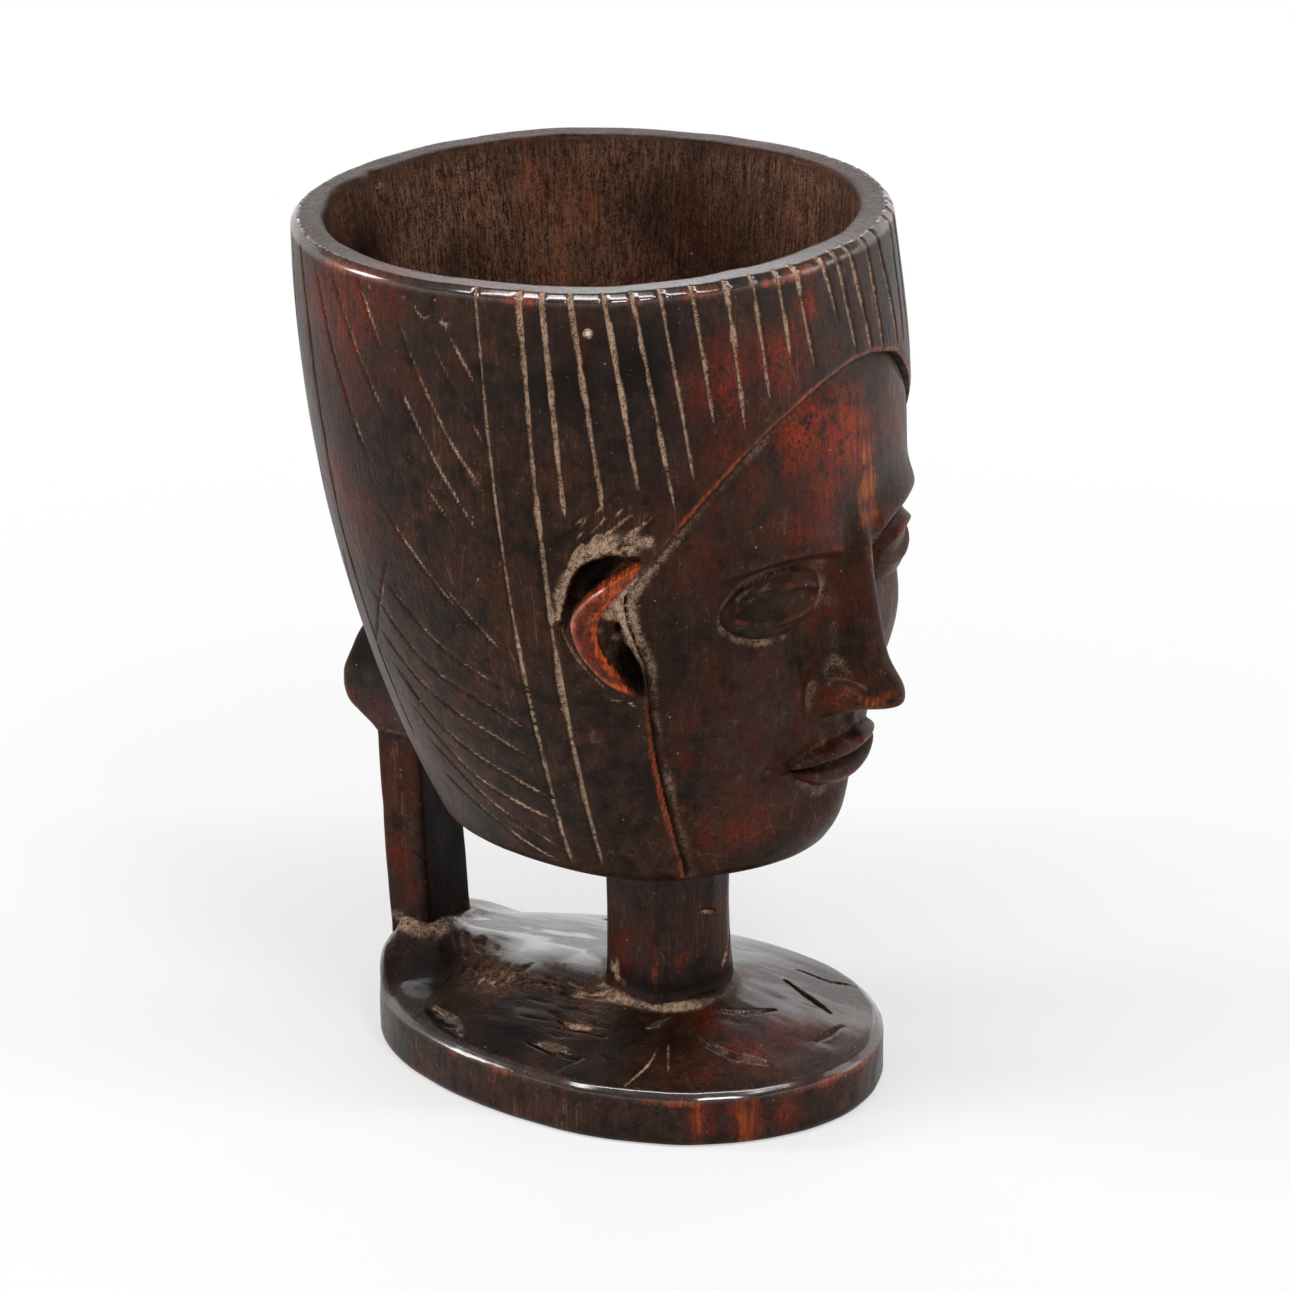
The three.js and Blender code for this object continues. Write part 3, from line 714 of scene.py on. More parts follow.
inside_red = inside_spots([(-100, 172, 14, .6), (-116, 158, 14, .6), (165, 183, 8, .5), (-128, 146, 14, .8),
                           (-60, 150, 20, .5), (20, 130, 30, .4)])
tan_dust_and_light = inside_spots([(-137, 180, 9, 1), (-128, 174, 10, 1), (-132, 160, 9, .9), (-76, 178, 5, 1),
                    (-67, 172, 4, 1)], tall=1.6)
stain = inside_spots([(140, 178, 16, 1), (152, 170, 16, 1), (167, 172, 11, 1), (-106, 172, 13, .5),
                      (-96, 160, 15, .7), (-160, 160, 9, .4), (100, 160, 20, .6)])
streak = ripple(inside * (1, 1, 0.1), 2.5, 12)
below_rim = rim - inside[..., 2]
bowl.sheet(inside, (0, 0.06, 0.995, 0.36), red=inside_red, wear=unit(0.6 * tan_dust_and_light * (0.95 + 0.3 * streak)),
           dust=0.06 + 0.36 * tan_dust_and_light * np.clip(0.9 + 0.5 * streak, 0, 1.2) + inside_spots([(178, 187, 3, 1)]),
           bare=unit(below_rim / 3) * (1 - 0.9 * stain) * (1 - 0.5 * inside_red),
           # the darkening further down the hollow is painted shade
           soot=np.clip(0.6 * unit((below_rim - 25) / 60) + 0.72 * stain * (1 + 0.5 * streak), 0, 0.9))
print("darkest stain:", round(float(stain.max()), 2))

# %% [markdown]
# ## The underside of the head
# Nobody sees the underside, so a few flat sheets that run to one point close it. With them the bowl is one
# closed body, which is what a real piece of wood is.

# %% Sheets of the underside
under_middle = np.array([0, -10.2, underside])
first_corner, last_corner = [np.stack([outside[-1, column], seat[-1, column]]) for column in (first, last)]
under_sheets = [(outside[-1, last:], (0, 0, 0.35, 0.05), 0.2), (seat[-1, front], (0.71, 0, 0.995, 0.05), 0.2),
                (outside[-1, :first + 1], (0.36, 0, 0.7, 0.05), 0.2),
                (first_corner, (0, 0.052, 0.3, 0.058), 0), (last_corner, (0.31, 0.052, 0.6, 0.058), 0)]
# The underside is painted a little dark, as shade.
for outline, patch, soot in under_sheets:
    bowl.sheet(shrinking(outline, under_middle, 7), patch, red=0.3, soot=soot)
bowl_piece = bowl.build(sharp=60)

# %% [markdown]
# ## The face
# The face is a calm, plain one drawn from a manual: hairline, brow, nose and chin divide it in equal thirds,
# and the head is five eyes wide. Each feature is a soft form added to the skin, which lies a step below the
# hair. Brow and eyes come first; side is how far a point lies from the middle of the face.

# %% Brow and eyes
third = (hairline(0) - underside) / 3
brow_height, nose_base = underside + 2 * third, underside + third
eye_height, mouth_height = brow_height - third / 4, nose_base - third / 3
eye_side = 2 * float(head_oval(eye_height)[1]) / 5


def soft(x, z, middle_x, middle_z, wide, high):
    return np.exp(-((x - middle_x) / wide) ** 2 - ((z - middle_z) / high) ** 2)


def brow_and_eye(side, z):
    middle = brow_height - 1.5 + 3.2 * (1 - ((side - eye_side) / 18) ** 2)
    brow = 2.5 * bell(z, middle, np.where(z > middle, 4.6, 2.0))
    brow = brow * step(side, 3, 10) * (1 - step(side, 31, 42))
    socket = -3.0 * soft(side, z, eye_side - 1, eye_height - 1, 15, 9)
    socket = socket - 1.6 * soft(side, z, 11.5, eye_height, 4.5, 8)
    ball = 4.4 * np.sqrt(unit(1 - ((side - eye_side) / 13) ** 2 - ((z - eye_height) / 7.2) ** 2))
    lid = unit(1 - ((side - eye_side) / 11.2) ** 2)
    upper, lower = eye_height + 3.7 * lid ** 0.8, eye_height - 2.4 * lid ** 0.8
    inside_lids = np.where(lid > 0, np.minimum(upper - z, z - lower), -9)
    opening = -0.75 * step(inside_lids, 0, 0.7) + 0.5 * bell(inside_lids, -0.7, 0.7)
    crease = -0.5 * bell(z, upper + 2.6, 0.7) * step(lid, 0.0, 0.3)
    return brow + socket + ball + opening + crease


print("thirds of", round(third, 1), "mm, eyes", round(eye_side, 1), "mm wide and apart")

# %% [markdown]
# ## Nose, mouth, chin and cheeks
# The nose widens on its way down and ends in a tip between two wings. Upper and lower lip meet at a line that
# bends up at its ends. Like the eyes, they follow rules of thumb from a drawing manual and portray nobody.

# %% Height of the features above the skin
def nose(x, side, z):
    down = unit((brow_height - 1 - z) / (brow_height - nose_base - 3))
    bridge = (2.6 + 9.0 * down ** 1.25) * np.exp(-(side / (3.6 + 3.2 * down)) ** 2.4)
    bridge *= (1 - step(z, brow_height - 3, brow_height + 8)) * step(z, nose_base - 2.2, nose_base + 1.6)
    tip = 2.4 * soft(x, z, 0, nose_base + 4.6, 6.2, 4.4)
    wings = 5.0 * soft(side, z, 8.2, nose_base + 3.6, 3.3, 3.4)
    crease = -1.1 * soft(side, z, 13, nose_base + 4.5, 1.6, 4.6)
    nostril = -1.8 * soft(side, z, 4.4, nose_base + 0.2, 2.3, 1.2)
    return bridge + tip + wings + crease + nostril


def mouth(x, side, z):
    line = mouth_height + 0.9 * (side / 18) ** 2
    top = line + 5.4 * unit(1 - (side / 19) ** 1.7) - 1.0 * bell(x, 0, 2.6)
    low = line - 6.2 * unit(1 - (side / 15.5) ** 2)
    up = unit((z - line) / np.maximum(top - line, 0.3))
    down = unit((line - z) / np.maximum(line - low, 0.3))
    full = unit(1 - (side / 19) ** 2) ** 0.7
    upper_lip = 3.6 * full * (4 * up * (1 - up)) ** 0.6 * (z >= line)
    lower_lip = 4.2 * full * (4 * down * (1 - down)) ** 0.6 * (z < line)
    parting = -0.9 * bell(z, line, 0.55) * step(19 - side, 0, 4)
    groove = -0.7 * soft(x, z, 0, nose_base - 4.4, 2, 3.2)
    groove = groove + 0.35 * soft(side, z, 3.3, nose_base - 4.4, 1.2, 3.2)
    corners = -1.1 * soft(side, z, 19.6, mouth_height + 0.8, 2.3, 2.4)
    muzzle = 3.4 * soft(x, z, 0, mouth_height + 1, 22, 15)
    return upper_lip + lower_lip + parting + groove + corners + muzzle


def face_forms(x, z):
    side = np.abs(x)
    chin = 4.4 * soft(x, z, 0, underside + 8, 15, 8.5) - 1.3 * soft(x, z, 0, mouth_height - 8.6, 11, 2.2)
    cheek = 2.0 * soft(side, z, 32, nose_base + 9, 12, 12) - 0.8 * soft(side, z, 17.5, nose_base - 3, 2.6, 7)
    return brow_and_eye(side, z) + nose(x, side, z) + mouth(x, side, z) + chin + cheek


print("tip of the nose stands out by", round(float(face_forms(0, nose_base + 4.6)), 1), "mm")

# %% [markdown]
# ## The skin
# The face lies in the bowl's seat. Its grid follows the same guides as the hair, a hair's breadth inside
# them, so that the two pieces touch without cutting into each other.

# %% Grid and carving of the face
fit = 0.04
face_columns = np.linspace(-hair_edge_turn + fit, hair_edge_turn - fit, 261)
share = np.linspace(0, 1, 241)[:, None]
face_height = between(hairline(face_columns)[None, :] - fit, wall_foot, share)
face_turn, face_height = rounded_under(follow_guides(face_columns, face_height), face_height)
skin = on_head(face_turn, face_height)
skin_edge_far = nearest(skin, edge_spots)[0]
forms = face_forms(skin[..., 0], face_height) * step(hair_edge_turn - np.abs(face_columns), 0, 9)
skin_out = -1.25 - 0.75 * bell(skin_edge_far, 0, 2.6) + forms
skin_out += 0.14 * ripple(skin, 12, 31) + 0.05 * ripple(skin, 3, 32)
skin_out[-turn_rows:] -= under_round * (1 - np.cos(tuck))
print("face grid:", skin.shape[:2])

# %% [markdown]
# ## Dust and wear from the form itself
# Dust settles where a surface is hollow, and hands polish what stands out. Both are found by comparing the
# surface with a blurred copy of itself: below the copy is a hollow, above it is an edge.

# %% Paint of the face
def blurred(field, reach, rounds=2):
    size = 2 * reach + 1
    for _ in range(rounds):
        for axis in (0, 1):
            margins = [(reach + 1, reach) if i == axis else (0, 0) for i in (0, 1)]
            total = np.cumsum(np.pad(field, margins, mode="edge"), axis)
            high, low = range(size, total.shape[axis]), range(total.shape[axis] - size)
            field = (np.take(total, high, axis) - np.take(total, low, axis)) / size
    return field


hollow = blurred(forms, 5) - forms
skin_red = head_spots(skin, [(16, 156, 12, 1.1), (4, 153, 13, 1.1), (10, 144, 12, .75), (28, 146, 12, .5),
                             (42, 128, 16, .35), (50, 88, 9, .5), (30, 70, 14, .5), (12, 100, 12, .5),
                             (-20, 150, 16, .6), (-35, 100, 18, .4)])
# The pale orange band down the middle of the forehead is a painted highlight where the light from the side
# catches the ridge; three pale spots lie by the jaw.
worn_and_lit = head_spots(skin, [(-3, 153, 5.2, .6), (-3, 147, 5.2, .95), (-3, 140, 5.2, .95), (-3, 133, 5.2, .8),
                         (-3, 127, 5.2, .5)])
worn_and_lit += head_spots(skin, [(48, 70, 2.2, .4), (48, 76, 2.2, .4), (48, 82, 2.2, .4)])
beside_ear = bell(face_height, 121, 14)
skin_grain = ripple(skin, 2.6, 33)
skin_dust = np.clip(0.9 * hollow - 0.1, 0, 0.5) * (0.9 + 0.3 * skin_grain)
skin_dust += 0.42 * bell(skin_edge_far, 1.6, 1.4) + 0.45 * beside_ear * bell(skin_edge_far, 0, 2.6)
skin_dust += 0.2 * unit(ripple(skin, 7, 34))
skin_wear = np.clip(-0.9 * hollow - 0.2, 0, 0.55) * (0.8 + 0.5 * skin_grain)
skin_wear += worn_and_lit * (0.85 + 0.4 * skin_grain)
# The thin black line along the edge of the hair is painted shade, where the skin drops under the step.
face_paint = {
    "dust": skin_dust, "wear": skin_wear, "soot": 0.8 * bell(skin_edge_far, 0, 0.4) * (1 - beside_ear),
    "red": np.maximum(skin_red, 0.3 + 0.3 * ripple(skin, 14, 35)), "wax": 0.05 * step(face_height, 120, 150)}
print("deepest hollow of the face, in mm:", round(float(hollow.max()), 1))

# %% [markdown]
# ## Closing the face
# The face is a panel about six millimetres thick. Its back lies a tenth of a millimetre off the seat, and
# four narrow strips join it to the front. The top and side strips and the back are painted dark as shade.

# %% Sheets of the face
face = Carving("head_face")
face_front = on_head(face_turn, face_height, skin_out)
face_back = on_head(face_turn, face_height, np.full(skin_out.shape, -seat_depth + 0.1))
face_front[-1, :, 2] = face_back[-1, :, 2] = underside
face.sheet(face_front, (0, 0.3, 0.99, 1), **face_paint)
face.strip(face_front[0], face_back[0], (0, 0.27, 0.99, 0.28), soot=0.8)
face.strip(face_front[-1], face_back[-1], (0, 0.25, 0.99, 0.26), red=0.3)
face.strip(face_front[:, 0], face_back[:, 0], (0, 0.22, 0.99, 0.23), soot=0.8)
face.strip(face_front[:, -1], face_back[:, -1], (0, 0.2, 0.99, 0.21), soot=0.8)
face.coarse(face_back, (0, 0, 0.99, 0.19), 8, 20, soot=0.4)
face_piece = face.build(sharp=60)

# %% [markdown]
# ## The ears
# Each ear is a crescent left standing between the scoops. Its upper arm is a thin blade that rises to the
# front, and it swells at the back. Two edge lines carry the turn, the height and how far the wood stands out.

# %% Lines of the ears
outer_line = [(53.2, 134.7, 2.4), (56.7, 133, 3.9), (61, 129.9, 4.5), (64.6, 126.4, 3.9), (67, 122.4, 2.7),
              (67.5, 118.3, 1.8), (66.4, 113.3, 1.3), (63.4, 108.9, 1.3), (60.4, 106.4, 1.4),
              (57.2, 105.1, 1)]
inner_line = [(53.3, 134.1, 2.2), (55.3, 131.5, 3), (58.2, 128.2, 3.2), (60.3, 125.2, 2.6), (62, 122, 2),
              (62.7, 119.2, 1.8), (62.2, 115.6, 2), (60.6, 112, 2.5), (59, 108.6, 2.6), (57.3, 105.7, 1.1)]
ear_rows = 90


def evenly(line):
    """The line's values at evenly spaced places along it."""
    line = smooth_line(line, 0.2)
    way = walked(line[:, :2])
    places = np.linspace(0, way[-1], ear_rows)
    return np.stack([np.interp(places, way, line[:, i]) for i in range(line.shape[1])], -1)[:, None, :]


ear_share = np.concatenate([[0, 0.04, 0.08, 0.12], np.linspace(0.18, 1, 12)])[None, :]
ear_along = np.linspace(0, 1, ear_rows)[:, None]
crescent = between(evenly(outer_line), evenly(inner_line), ear_share[..., None])
print("ear grid:", crescent.shape[:2])

# %% [markdown]
# ## Carving both ears
# The crescent's edges are eased with the knife, and its crest is polished by hands until the orange wood
# shows. The ear on the far side is the mirror image of the near one.

# %% Sheets of the ears
ear_pieces = {}
for ear_name, sign in (("right_ear", 1), ("left_ear", -1)):
    eased = 0.6 * unit(1 - ear_share / 0.12) + 0.5 * np.exp(-(1 - ear_share) / 0.08)
    stand = crescent[..., 2] - eased + 0.15 * np.sin(np.pi * ear_share)
    ear_top = on_head(sign * crescent[..., 0], crescent[..., 1], stand)
    marks = 0.09 * ripple(ear_top, 2.6, 41) + 0.12 * ripple(ear_top, 6, 42)
    ear_top += marks[..., None] * (sign * -0.85, -0.5, 0)
    ear_low = on_head(sign * crescent[..., 0], crescent[..., 1], -4.6)
    hollow_part = bell(ear_share, 0.45, 0.3) * step(ear_along, 0.15, 0.4) * (1 - step(ear_along, 0.8, 0.95))
    glow = 1.05 - 0.95 * hollow_part + 0.35 * ripple(ear_top, 2.2, 43) + 0.35 * ripple(ear_top, 0.9, 44)
    ear = Carving(ear_name + "_crescent")
    ear.sheet(ear_top, (0, 0.5, 1, 1), wear=np.clip(glow, 0, 1.2), red=0.7, dust=0.05,
              wax=0.06 + 0.94 * bell(ear_share, 0.05, 0.1))
    ear.strip(ear_top[:, 0], ear_low[:, 0], (0, 0.4, 1, 0.48), wear=0.45, dust=0.35, red=0.8)
    ear.strip(ear_top[:, -1], ear_low[:, -1], (0, 0.3, 1, 0.38), wear=0.05, dust=0.05, red=0.8)
    ear.strip(ear_top[0], ear_low[0], (0, 0.28, 1, 0.3), wear=0.5)
    ear.strip(ear_top[-1], ear_low[-1], (0, 0.23, 1, 0.25), wear=0.5)
    # The hidden underside of the crescent is painted black as shade.
    ear.sheet(ear_low, (0, 0, 1, 0.2), soot=1)
    ear_pieces[ear_name] = ear.build(sharp=45)

# %% [markdown]
# ## The neck
# The neck was trimmed with long upright strokes, which leave flat facets. In plan that is a many-sided shape:
# each facet is a straight line at its own distance from the middle, and the nearest one wins. The sum of
# exponentials below picks the nearest one softly, so that the corners between the facets stay a little round.

# %% Facets of the neck
dice = np.random.default_rng(7)
facets, corner_hardness = 12, 3.2
facet_turn = np.radians(np.arange(facets) * 30 + dice.uniform(-6, 6, facets))[:, None, None]
facet_far = 13.05 + dice.uniform(-0.35, 0.4, facets)[:, None, None]
neck_middle = np.array([0, (neck_low[1] + neck_high[1]) / 2, 0])
neck_turn = np.radians(np.linspace(0, 360, 241))
neck_height = np.concatenate([np.linspace(neck_low[2], 24, 14), np.linspace(24, neck_high[2], 61)[1:]])
neck_height = neck_height[:, None]
facing = np.cos(neck_turn - facet_turn - 0.05 * np.sin(neck_height / 9 + facet_turn * 3))
lean = facet_far + 0.3 * np.sin(neck_height / 11 + facet_turn * 5)
softly = np.sum(np.exp(-corner_hardness * lean / np.maximum(facing, 0.25)), 0)
neck_far = -np.log(softly) / corner_hardness + 0.25 + 0.6 * bell(neck_height, neck_low[2], 3.0)
neck_far -= 0.5 * np.sin(np.pi * unit((neck_height - 20) / 34))
neck_out = np.stack([np.cos(neck_turn), np.sin(neck_turn), 0 * neck_turn], -1)
neck_points = neck_middle + neck_far[..., None] * neck_out
neck_points[..., 2] += neck_height
print("neck grid:", neck_far.shape)

# %% [markdown]
# ## Nicks and paint of the neck
# A knife slipped here and there and left nicks that hold dust. Each nick is a short gouge. The neck is
# painted darker near its foot and just under the chin.

# %% Sheets of the neck
nicks = [[(-13.2, -7.2, 46, .5, .3), (-13.3, -7, 40, .8, .8), (-13.2, -7.3, 34.5, .5, .3)],
         [(-8.4, -20.6, 40.6, .5, .5), (-4.6, -22.9, 39.2, 1, 1.1), (-1, -23.8, 38.2, .5, .4)],
         [(-12, -15, 31, .4, .3), (-9, -19, 30, .5, .5)],
         [(1, -24, 25.6, 1, .9), (3, -23.6, 27.5, 1.5, 1.4), (6.2, -22, 30.5, 1.1, 1)],
         [(4, -23, 33, .6, .6), (6.5, -21.4, 35.5, .8, .8)]]
nick_depth = deepest(neck_points, [smooth_line(path) for path in nicks])
neck_in = nick_depth + 0.10 * ripple(neck_points * (1, 1, 0.3), 3.5, 52)
neck_in += 0.22 * ripple(neck_points, 6, 53) * bell(neck_height, 22, 4)
neck_points -= neck_in[..., None] * neck_out
neck_dust = soft_spots(neck_points, [(-12.2, -3.5, 24.5, 3, .9), (-12.9, -6, 28, 1.6, .7)])
neck_dust = neck_dust * unit(0.7 + ripple(neck_points, 1.5, 56)) + unit(nick_depth * 1.7)
neck_dust += 0.35 * bell(neck_height, 22, 1.3) * unit(0.3 + ripple(neck_points, 3, 54))
neck_red = 0.3 + 0.3 * ripple(neck_points, 9, 55) + soft_spots(neck_points, [(-9.5, -19.5, 29.5, 1.8, 1)])
neck = Carving("neck_column")
neck.sheet(neck_points, (0, 0.25, 1, 1), dust=neck_dust, red=neck_red, wax=0.06,
           wear=np.clip(-3 * (blurred(neck_far, 4) - neck_far), 0, 0.5),
           soot=0.8 * bell(neck_height, 23, 2.0) + 0.6 * bell(neck_height, 55.5, 2.0))
neck.caps(neck_points, [neck_middle + (0, 0, neck_points[row, 0, 2]) for row in (0, -1)], 5, soot=0.5)
neck_piece = neck.build(sharp=60)

# %% [markdown]
# ## The foot
# The foot is a thick oval plate whose top rises to a crest between neck and post. The sheet slides every
# point of the outline towards that crest. The side wavers a little, with a small round at the heel, and its
# upper edge is rubbed round.

# %% Outline and side of the foot
foot_half = (foot_high - foot_low)[:2] / 2
widest_y, edge_height, crest_height, edge_round = -8.0, 12.3, 20.0, 2.0
crest_front, crest_back = -16.9, 50.2


def foot_point(turn, share, inset, height):
    """Points that lie a share of the way from the crest to the outline, which is drawn in by inset."""
    ahead = np.sin(turn) < 0
    power = 2 / np.where(ahead, 2, 2.25)
    reach = np.where(ahead, foot_half[1] + widest_y, foot_half[1] - widest_y + 0.6)
    x = foot_half[0] * np.sign(np.cos(turn)) * np.abs(np.cos(turn)) ** power
    y = widest_y + reach * np.sign(np.sin(turn)) * np.abs(np.sin(turn)) ** power
    crest_y = np.clip(y, crest_front, crest_back)
    spoke = np.hypot(x, y - crest_y)
    scale = (spoke - inset) * share / spoke
    return np.stack(np.broadcast_arrays(x * scale, crest_y + (y - crest_y) * scale, height + 0 * scale), -1)


foot_turn = np.linspace(-np.pi / 2, 1.5 * np.pi, 541)[None, :]
outline = foot_point(foot_turn, 1, 0, 0)
edge_wave = 0.5 * ripple(outline, 24, 61) + 0.25 * ripple(outline, 8, 62)
top_edge = edge_height + 6.5 * step(outline[..., 1], 44, 57)
heel = np.array([[1.2, 0.0], [0.4, 0.4], [0.0, 1.3]])
bevel = np.array([[0.05, -1.75], [0.2, -1.45], [0.65, -1.0], [1.1, -0.55], [1.45, -0.2], [edge_round, 0]])
side_share = np.linspace(0, 1, 13)[1:, None]
inset = np.vstack([heel[:, :1], 0 * side_share, bevel[:, :1]]) + 0 * top_edge
side_height = np.vstack([heel[:, 1:] + 0 * top_edge, between(1.3, top_edge - edge_round, side_share),
                         top_edge + bevel[:, 1:]])
foot_side = foot_point(foot_turn, 1, inset - edge_wave, side_height)
tool_marks = 0.25 * ripple(foot_side, 7, 63) + 0.12 * ripple(foot_side * (1, 1, 0.4), 2.5, 64)
side_out = of_length_one(foot_side - foot_point(foot_turn, 0.9, 0, side_height))
foot_side += side_out * (tool_marks * unit(side_height / 3) * unit((top_edge - side_height) / 3.5))[..., None]
top_share = np.linspace(1, 0, 96)[:, None] ** 0.85
foot_top = foot_point(foot_turn, top_share, edge_round - edge_wave,
                      top_edge + (crest_height - top_edge) * (1 - top_share ** 1.7))
print("foot grids:", foot_side.shape[:2], "and", foot_top.shape[:2])

# %% [markdown]
# ## Knife slips and torn fibres on the foot
# Old knife slips and dents scar the top of the foot, and where the wood was cut against its fibres it tore
# into short splinters. Slips are drawn one by one on the plan, as x, y, half-width and depth. The splinters
# are strewn at random in a few zones, each with a place, a size, a count and a lean in degrees.

# %% Slips, scratches and splinters
slips = [[(-31.2, 31.5, 1.3, .9), (-34, 25.5, 2, 1.7), (-37.2, 20.3, 1.3, .9)],
         [(-25.9, 1.6, .5, .4), (-26.2, -4, 1.2, 1), (-27, -11, .5, .3)],
         [(-34.7, 3.4, .6, .5), (-35.1, -3.4, 1.5, 1.2), (-35.7, -9.6, .6, .4)],
         [(-21.3, -17.3, .5, .5), (-18.3, -19.2, .9, .8), (-14.5, -21, .5, .4)],
         [(-8, -26, .4, .5), (-4.4, -32, .9, 1.1), (1.5, -36, .4, .4)],
         [(-19.5, -32, .5, .7), (-18.8, -38.4, 1.3, 1.6), (-16.6, -44.5, .6, .9)],
         [(16.7, -29.3, .4, .6), (13.6, -37, .7, 1), (11.4, -44, .4, .5)],
         [(26.4, -27, .4, .6), (27.5, -34, .7, 1.1), (33, -40, .6, 1)],
         [(-1.7, -48.2, .5, .4), (3.3, -48.7, .7, .6), (8.6, -48.8, .4, .3)],
         [(14, 12, 1.2, .5), (20, 2, 1.5, .7)], [(28, 24, 1, .6), (32, 14, 1.1, .7)]]
scratches = [[(-41.8, -7.8, .35, .3), (-35, -10.2, .35, .3)],
             [(-23.7, -24.7, .4, .3), (-30.7, -29.1, .4, .3)],
             [(-39, -23.6, .4, .3), (-32, -24.3, .45, .4), (-25.5, -23.3, .35, .2)]]
torn_zones = [(-17, 26, 5.5, 9, 26, 90), (-15, 6, 4.5, 12, 30, 0), (-26, -2, 5, 10, 14, 0),
              (-9, 34, 3, 6, 10, 60)]
dice = np.random.default_rng(5)
splinters = []
for x, y, wide, long, count, lean in torn_zones:
    for _ in range(count):
        middle = np.array([x + dice.normal(0, wide * 0.55), y + dice.normal(0, long * 0.55)])
        aim = math.radians(lean + dice.normal(0, 12))
        half_long, depth = dice.uniform(1.6, 4.2), dice.uniform(0.25, 0.75)
        arm = np.array([math.sin(aim), math.cos(aim)]) * half_long
        splinters.append([(*(middle - arm), .3, depth * 0.4), (*middle, dice.uniform(.4, .75), depth),
                          (*(middle + arm), .3, depth * 0.4)])


def plan_depth(points, paths):
    """Depth of cuts that are drawn on the foot's plan."""
    solid_paths = [[(x, y, 0, half, depth) for x, y, half, depth in path] for path in paths]
    return deepest(points, [smooth_line(path) for path in solid_paths])


plan = foot_top * (1, 1, 0)
slip_depth, scratch_depth, torn_depth = [plan_depth(plan, paths) for paths in (slips, scratches, splinters)]
print(len(slips), "slips and", len(splinters), "splinters, deepest", round(float(slip_depth.max()), 1), "mm")

# %% [markdown]
# ## Shaping the top of the foot
# The adze left shallow dishes on the top, and two deeper scoops lie beside the crest. Around the neck and the
# post the wood rises in a small mound, because a blade cannot reach into that corner.

# %% Relief of the top
post_middle, post_half, post_half_deep = 52.2, 8.4, 5.7
plan_x, plan_y = plan[..., 0], plan[..., 1]
near_neck = np.hypot(plan_x, plan_y - neck_middle[1]) - 13.6
near_post = np.maximum(np.abs(plan_x) - post_half, np.abs(plan_y - post_middle) - post_half_deep)
from_edge = unit((1 - top_share) * 6)
dishes = 0.55 * scallops(plan + (0, 0, 3), 13, 66) * from_edge
scoops = np.maximum(0.9 * bell(plan_x, -17, 5) * bell(plan_y, 27, 6),
                    0.8 * bell(plan_x, -15, 5) * bell(plan_y, 6, 8))
cuts = slip_depth + torn_depth + scoops + scratch_depth + dishes
uneven = 0.22 * ripple(plan, 9, 67) + 0.10 * ripple(plan * (1, 0.35, 1), 2.5, 68)
foot_top[..., 2] += (uneven - cuts) * from_edge
foot_top[..., 2] += 1.7 * np.exp(-np.maximum(near_neck, 0) / 2.4)
post_mound = 2.6 * between(0.4, 1.1, step(-plan_x, -3, 6))
foot_top[..., 2] += post_mound * np.exp(-np.maximum(near_post, 0) / 3.2) * from_edge
for near, low in ((near_neck, neck_low[2]), (near_post, post_low[2])):
    under = (near < -1.2) & (from_edge > 0)
    foot_top[..., 2] = np.where(under, np.minimum(foot_top[..., 2], low), foot_top[..., 2])
print("top of the foot, in mm:", round(float(foot_top[..., 2].max()), 1))

# %% [markdown]
# ## Painting the top of the foot
# Dust lies in rings around the neck and the post and in the torn wood, which is bare and pale. Each slip is
# painted pale on its lit side, a painted highlight, and black on its other side, painted shade. The wax is
# thick on the far side, which shines in the photograph, and thin on the near side.

# %% Paint of the top
def plan_spots(spots):
    return soft_spots(plan, [(x, y, 0, radius, strength) for x, y, radius, strength in spots])


torn_area = unit(blurred(torn_depth, 5) * 5)
ring_dust = 1.05 * bell(near_neck, 1.9, 1.7) + 1.05 * bell(near_post, 1.2, 3.0)
fresh = unit(plan_spots([(-13, 1, 6, 1.1), (-14, 10, 5, 1), (-16, 26, 6, .7), (-26, -3, 4, .4),
                         (-9, 14, 4, .9)]))
# Each slip's lit side is painted pale as a painted highlight.
lit_side = plan_depth(plan + (-0.9, 0.3, 0), slips) * unit(0.75 + 0.8 * ripple(plan * (1, 0.22, 1), 0.9, 74))
top_dust = ring_dust * (0.6 + 0.5 * ripple(plan, 4, 69)) + np.clip(lit_side * 1.2 - 0.35, 0, 0.5)
top_dust += np.clip(torn_depth * 1.9 - 0.15, 0, 0.9) * (0.3 + 0.7 * fresh) + unit(scratch_depth * 2.2)
top_dust += 0.55 * fresh * unit(ripple(plan * (1, 0.4, 1), 1.6, 70) + 0.3)
top_red = plan_spots([(-9, -28, 10, .7), (-15, -40, 9, .8), (-3, -42, 12, .7), (7, -32, 8, .5),
                      (-27, -38, 5, .5), (30, 0, 16, .4), (22, 36, 16, .4)])
top_soot = 1.15 * plan_spots([(-24, 6, 15, .7), (-18, 40, 13, .8), (-28, -14, 10, .7), (-10, 45, 8, .6),
                              (-24, -26, 7, .7), (-34, -24, 5, .6), (-33, 8, 12, .75), (-33, -8, 9, .7)])
